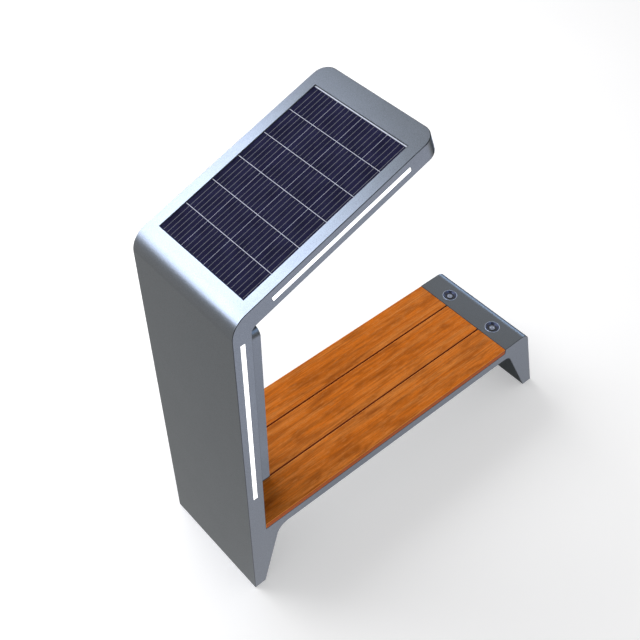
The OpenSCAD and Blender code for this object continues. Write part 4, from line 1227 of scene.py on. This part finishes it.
# Studio cards: name, place, point that it faces, direction of its long side, size in metres,
# strength and colour
CARDS = (
    ("bend_card", (-2.59, 2.38, 4.55), BEND, (0.906, 0.248, 0.477), (4.8, 2.0), 17.0, "#dde8ff"),
    ("low_front_card", (-1.6, -0.8, -1.7), (-1.6, -0.8, 0), (1, 0, 0), (3.6, 2.4), 1.35, "#f2f5ff"),
    ("low_beam_card", (2.7, -0.8, -1.7), (2.7, -0.8, 0), (1, 0, 0), (5.0, 2.4), 1.0, "#eef3ff"),
    ("high_front_card", (0.9, -3.6, -1.7), (0.9, -3.6, 0), (1, 0, 0), (8, 3.2), 2.6, "#e6ecff"),
    ("back_flag", (-1.7, 2.3, -2.5), (-0.7, -0.5, 0.3), (0, 1, 0), (5, 5), 0.64, "#f4f6f6"),
    ("under_flag", (1.15, 1.4, -0.5), (1.15, 1.4, 1), (1, 0, 0), (4.1, 3.2), 0.08, "#e6f0f0"),
    ("camera_flag", (-2.6, -3.0, 5.0), BENCH_MIDDLE, (1, 0, 0), (6, 6), 0.05, "#dfe6f4"),
    ("nose_flag", (0.9, 0.5, 1.95), (0, 0.5, 1.95), (0, 1, 0), (2.0, 1.3), 0.06, "#dfe6f4"),
    ("port_flag", (0.35, 0.45, 0.95), (0.75, 0, 0.45), (0, 1, 0), (0.9, 0.45), 0.05, "#c8cce0"),
    ("end_glint", (2.33, 0.66, 0.93), SEAT_END, (0, 1, 0), (2.2, 0.4), 6.0, "#c4dcff"),
    ("end_sky", (2.39, 0.66, 0.46), SEAT_END, (0, 1, 0), (2.2, 0.5), 1.6, "#a9c6ee"),
    ("end_flag", (2.3, 0.66, -0.1), SEAT_END, (0, 1, 0), (2.2, 0.6), 0.1, "#dfe6f4"),
    ("seat_card", (-0.45, -0.2, 0.456), (-0.45, -0.2, 1), (1, 0, 0), (0.9, 0.18), 1.5, "#e8efff"),
    ("column_card", (0.95, -2.7, 3.8), COLUMN_TOP, (1, 0, 0), (1.7, 1.8), 4.4, "#a9c6ee"),
    ("column_flag", (0.55, -3.0, 1.3), COLUMN_UPPER, (1, 0, 0), (1.4, 1.0), 0.5, "#dfe6f4"),
)


def key_lamp(name, at, towards, size, power):
    """Soft lamp that shapes the shadows. The cards below take its place in reflections."""
    data = bpy.data.lights.new(name, "AREA")
    data.shape = "RECTANGLE"
    data.size, data.size_y = size
    data.energy = power
    lamp = bpy.data.objects.new(name, data)
    bpy.context.scene.collection.objects.link(lamp)
    turn = (Vector(towards) - Vector(at)).to_track_quat("-Z", "Y")
    lamp.matrix_world = Matrix.Translation(at) @ turn.to_matrix().to_4x4()
    lamp.visible_glossy = False
    lamp.visible_camera = False


def flat_mesh(name, size, material, place):
    shape = bmesh.new()
    bmesh.ops.create_grid(shape, x_segments=2, y_segments=2, size=0.5)
    bmesh.ops.scale(shape, vec=(size[0], size[1], 1), verts=shape.verts)
    bmesh.ops.transform(shape, matrix=place, verts=shape.verts)
    mesh = bpy.data.meshes.new(name)
    shape.to_mesh(mesh)
    shape.free()
    mesh.materials.append(material)
    return new_object(name, mesh)


def card(name, at, towards, along, size, strength, colour):
    """Studio card that is seen in glossy surfaces only. Its long side runs along a direction."""
    material = bpy.data.materials.new(name)
    tree = blank_tree(material)
    glow = add(tree, "ShaderNodeEmission", {"Color": rgba(linear(colour)), "Strength": strength})
    add(tree, "ShaderNodeOutputMaterial", {"Surface": glow.outputs[0]})
    bright = strength > SAMPLED_STRENGTH
    material.cycles.emission_sampling = "FRONT_BACK" if bright else "NONE"
    normal = (Vector(towards) - Vector(at)).normalized()
    side = (Vector(along) - Vector(along).project(normal)).normalized()
    turn = Matrix((side, normal.cross(side), normal)).transposed().to_4x4()
    sheet = flat_mesh(name, size, material, Matrix.Translation(at) @ turn)
    for rays in ("camera", "diffuse", "transmission", "shadow"):
        setattr(sheet, f"visible_{rays}", False)


def studio_world():
    """Nearly white where it is seen, also in reflections, and dimmer as a light on surfaces, so that
    the key lamp shapes the shadows."""
    world = bpy.data.worlds.new("studio")
    tree = blank_tree(world)
    path = add(tree, "ShaderNodeLightPath")
    diffuse = calc(tree, "MULTIPLY", path.outputs["Is Diffuse Ray"], SKY_LIGHT - SKY_SEEN)
    strength = calc(tree, "ADD", diffuse, SKY_SEEN)
    sky = add(tree, "ShaderNodeBackground", {"Color": (1, 1, 1, 1), "Strength": strength})
    add(tree, "ShaderNodeOutputWorld", {"Surface": sky.outputs[0]})
    return world


class BENCH_OT_stage(bpy.types.Operator):
    """Sets up the pale floor, the soft studio light and the camera"""

    bl_idname = "bench.stage"
    bl_label = "Stage"

    def execute(self, context):
        scene = context.scene
        scene.view_settings.view_transform = "Standard"
        scene.view_settings.look = "None"
        scene.world = studio_world()
        material, tree, shader = new_material("pale_floor")
        grain = noise(tree, object_place(tree), per_metre(900), 1.0)
        feed(tree, shader, mix_colour(tree, grain, linear("#f3f3f4"), linear("#f6f6f7")), None)
        set_shader(shader, Roughness=0.9, Specular_IOR_Level=0.0)
        set_shader(shader, Emission_Color=(1, 1, 1, 1), Emission_Strength=FLOOR_GLOW)
        floor = flat_mesh("floor", FLOOR_SIZE, material, Matrix.Identity(4))
        floor.visible_glossy = False
        key_lamp("back_key", (-1.5, 4.9, 4.2), (0.0, 0.0, 0.6), (7.0, 7.0), 380)
        for settings in CARDS:
            card(*settings)
        data = bpy.data.cameras.new("photo_view")
        data.sensor_width = 36.0
        data.lens = CAMERA_LENS_MM
        camera = bpy.data.objects.new("photo_view", data)
        scene.collection.objects.link(camera)
        camera.location = CAMERA_PLACE
        camera.rotation_euler = (CAMERA_TILT, 0, -CAMERA_TURN)
        scene.camera = camera
        return {"FINISHED"}


class BENCH_PT_panel(bpy.types.Panel):
    """Lists the steps that build the bench"""

    bl_idname = "BENCH_PT_panel"
    bl_label = "Solar charging bench"
    bl_space_type = "VIEW_3D"
    bl_region_type = "UI"
    bl_category = "Bench"

    def draw(self, context):
        for operator in OPERATORS:
            self.layout.operator(operator.bl_idname)
        for group in (context.scene.bench_sizes, context.scene.bench_colours):
            for key in group.bl_rna.properties.keys():
                if key not in ("name", "rna_type"):
                    self.layout.prop(group, key)


OPERATORS = (
    BENCH_OT_stage,
    BENCH_OT_steel_body,
    BENCH_OT_boards,
    BENCH_OT_solar_panel,
    BENCH_OT_light_strips,
    BENCH_OT_column,
    BENCH_OT_charging_ports,
    BENCH_OT_screws,
    BENCH_OT_inner_parts,
)
CLASSES = (BenchSizes, BenchColours, *OPERATORS, BENCH_PT_panel)


def register():
    for entry in CLASSES:
        bpy.utils.register_class(entry)
    bpy.types.Scene.bench_sizes = bpy.props.PointerProperty(type=BenchSizes)
    bpy.types.Scene.bench_colours = bpy.props.PointerProperty(type=BenchColours)


def unregister():
    del bpy.types.Scene.bench_sizes
    del bpy.types.Scene.bench_colours
    for entry in reversed(CLASSES):
        bpy.utils.unregister_class(entry)


def main():
    register()
    for operator in OPERATORS:
        group, name = operator.bl_idname.split(".")
        getattr(getattr(bpy.ops, group), name)()


if __name__ == "__main__":
    main()
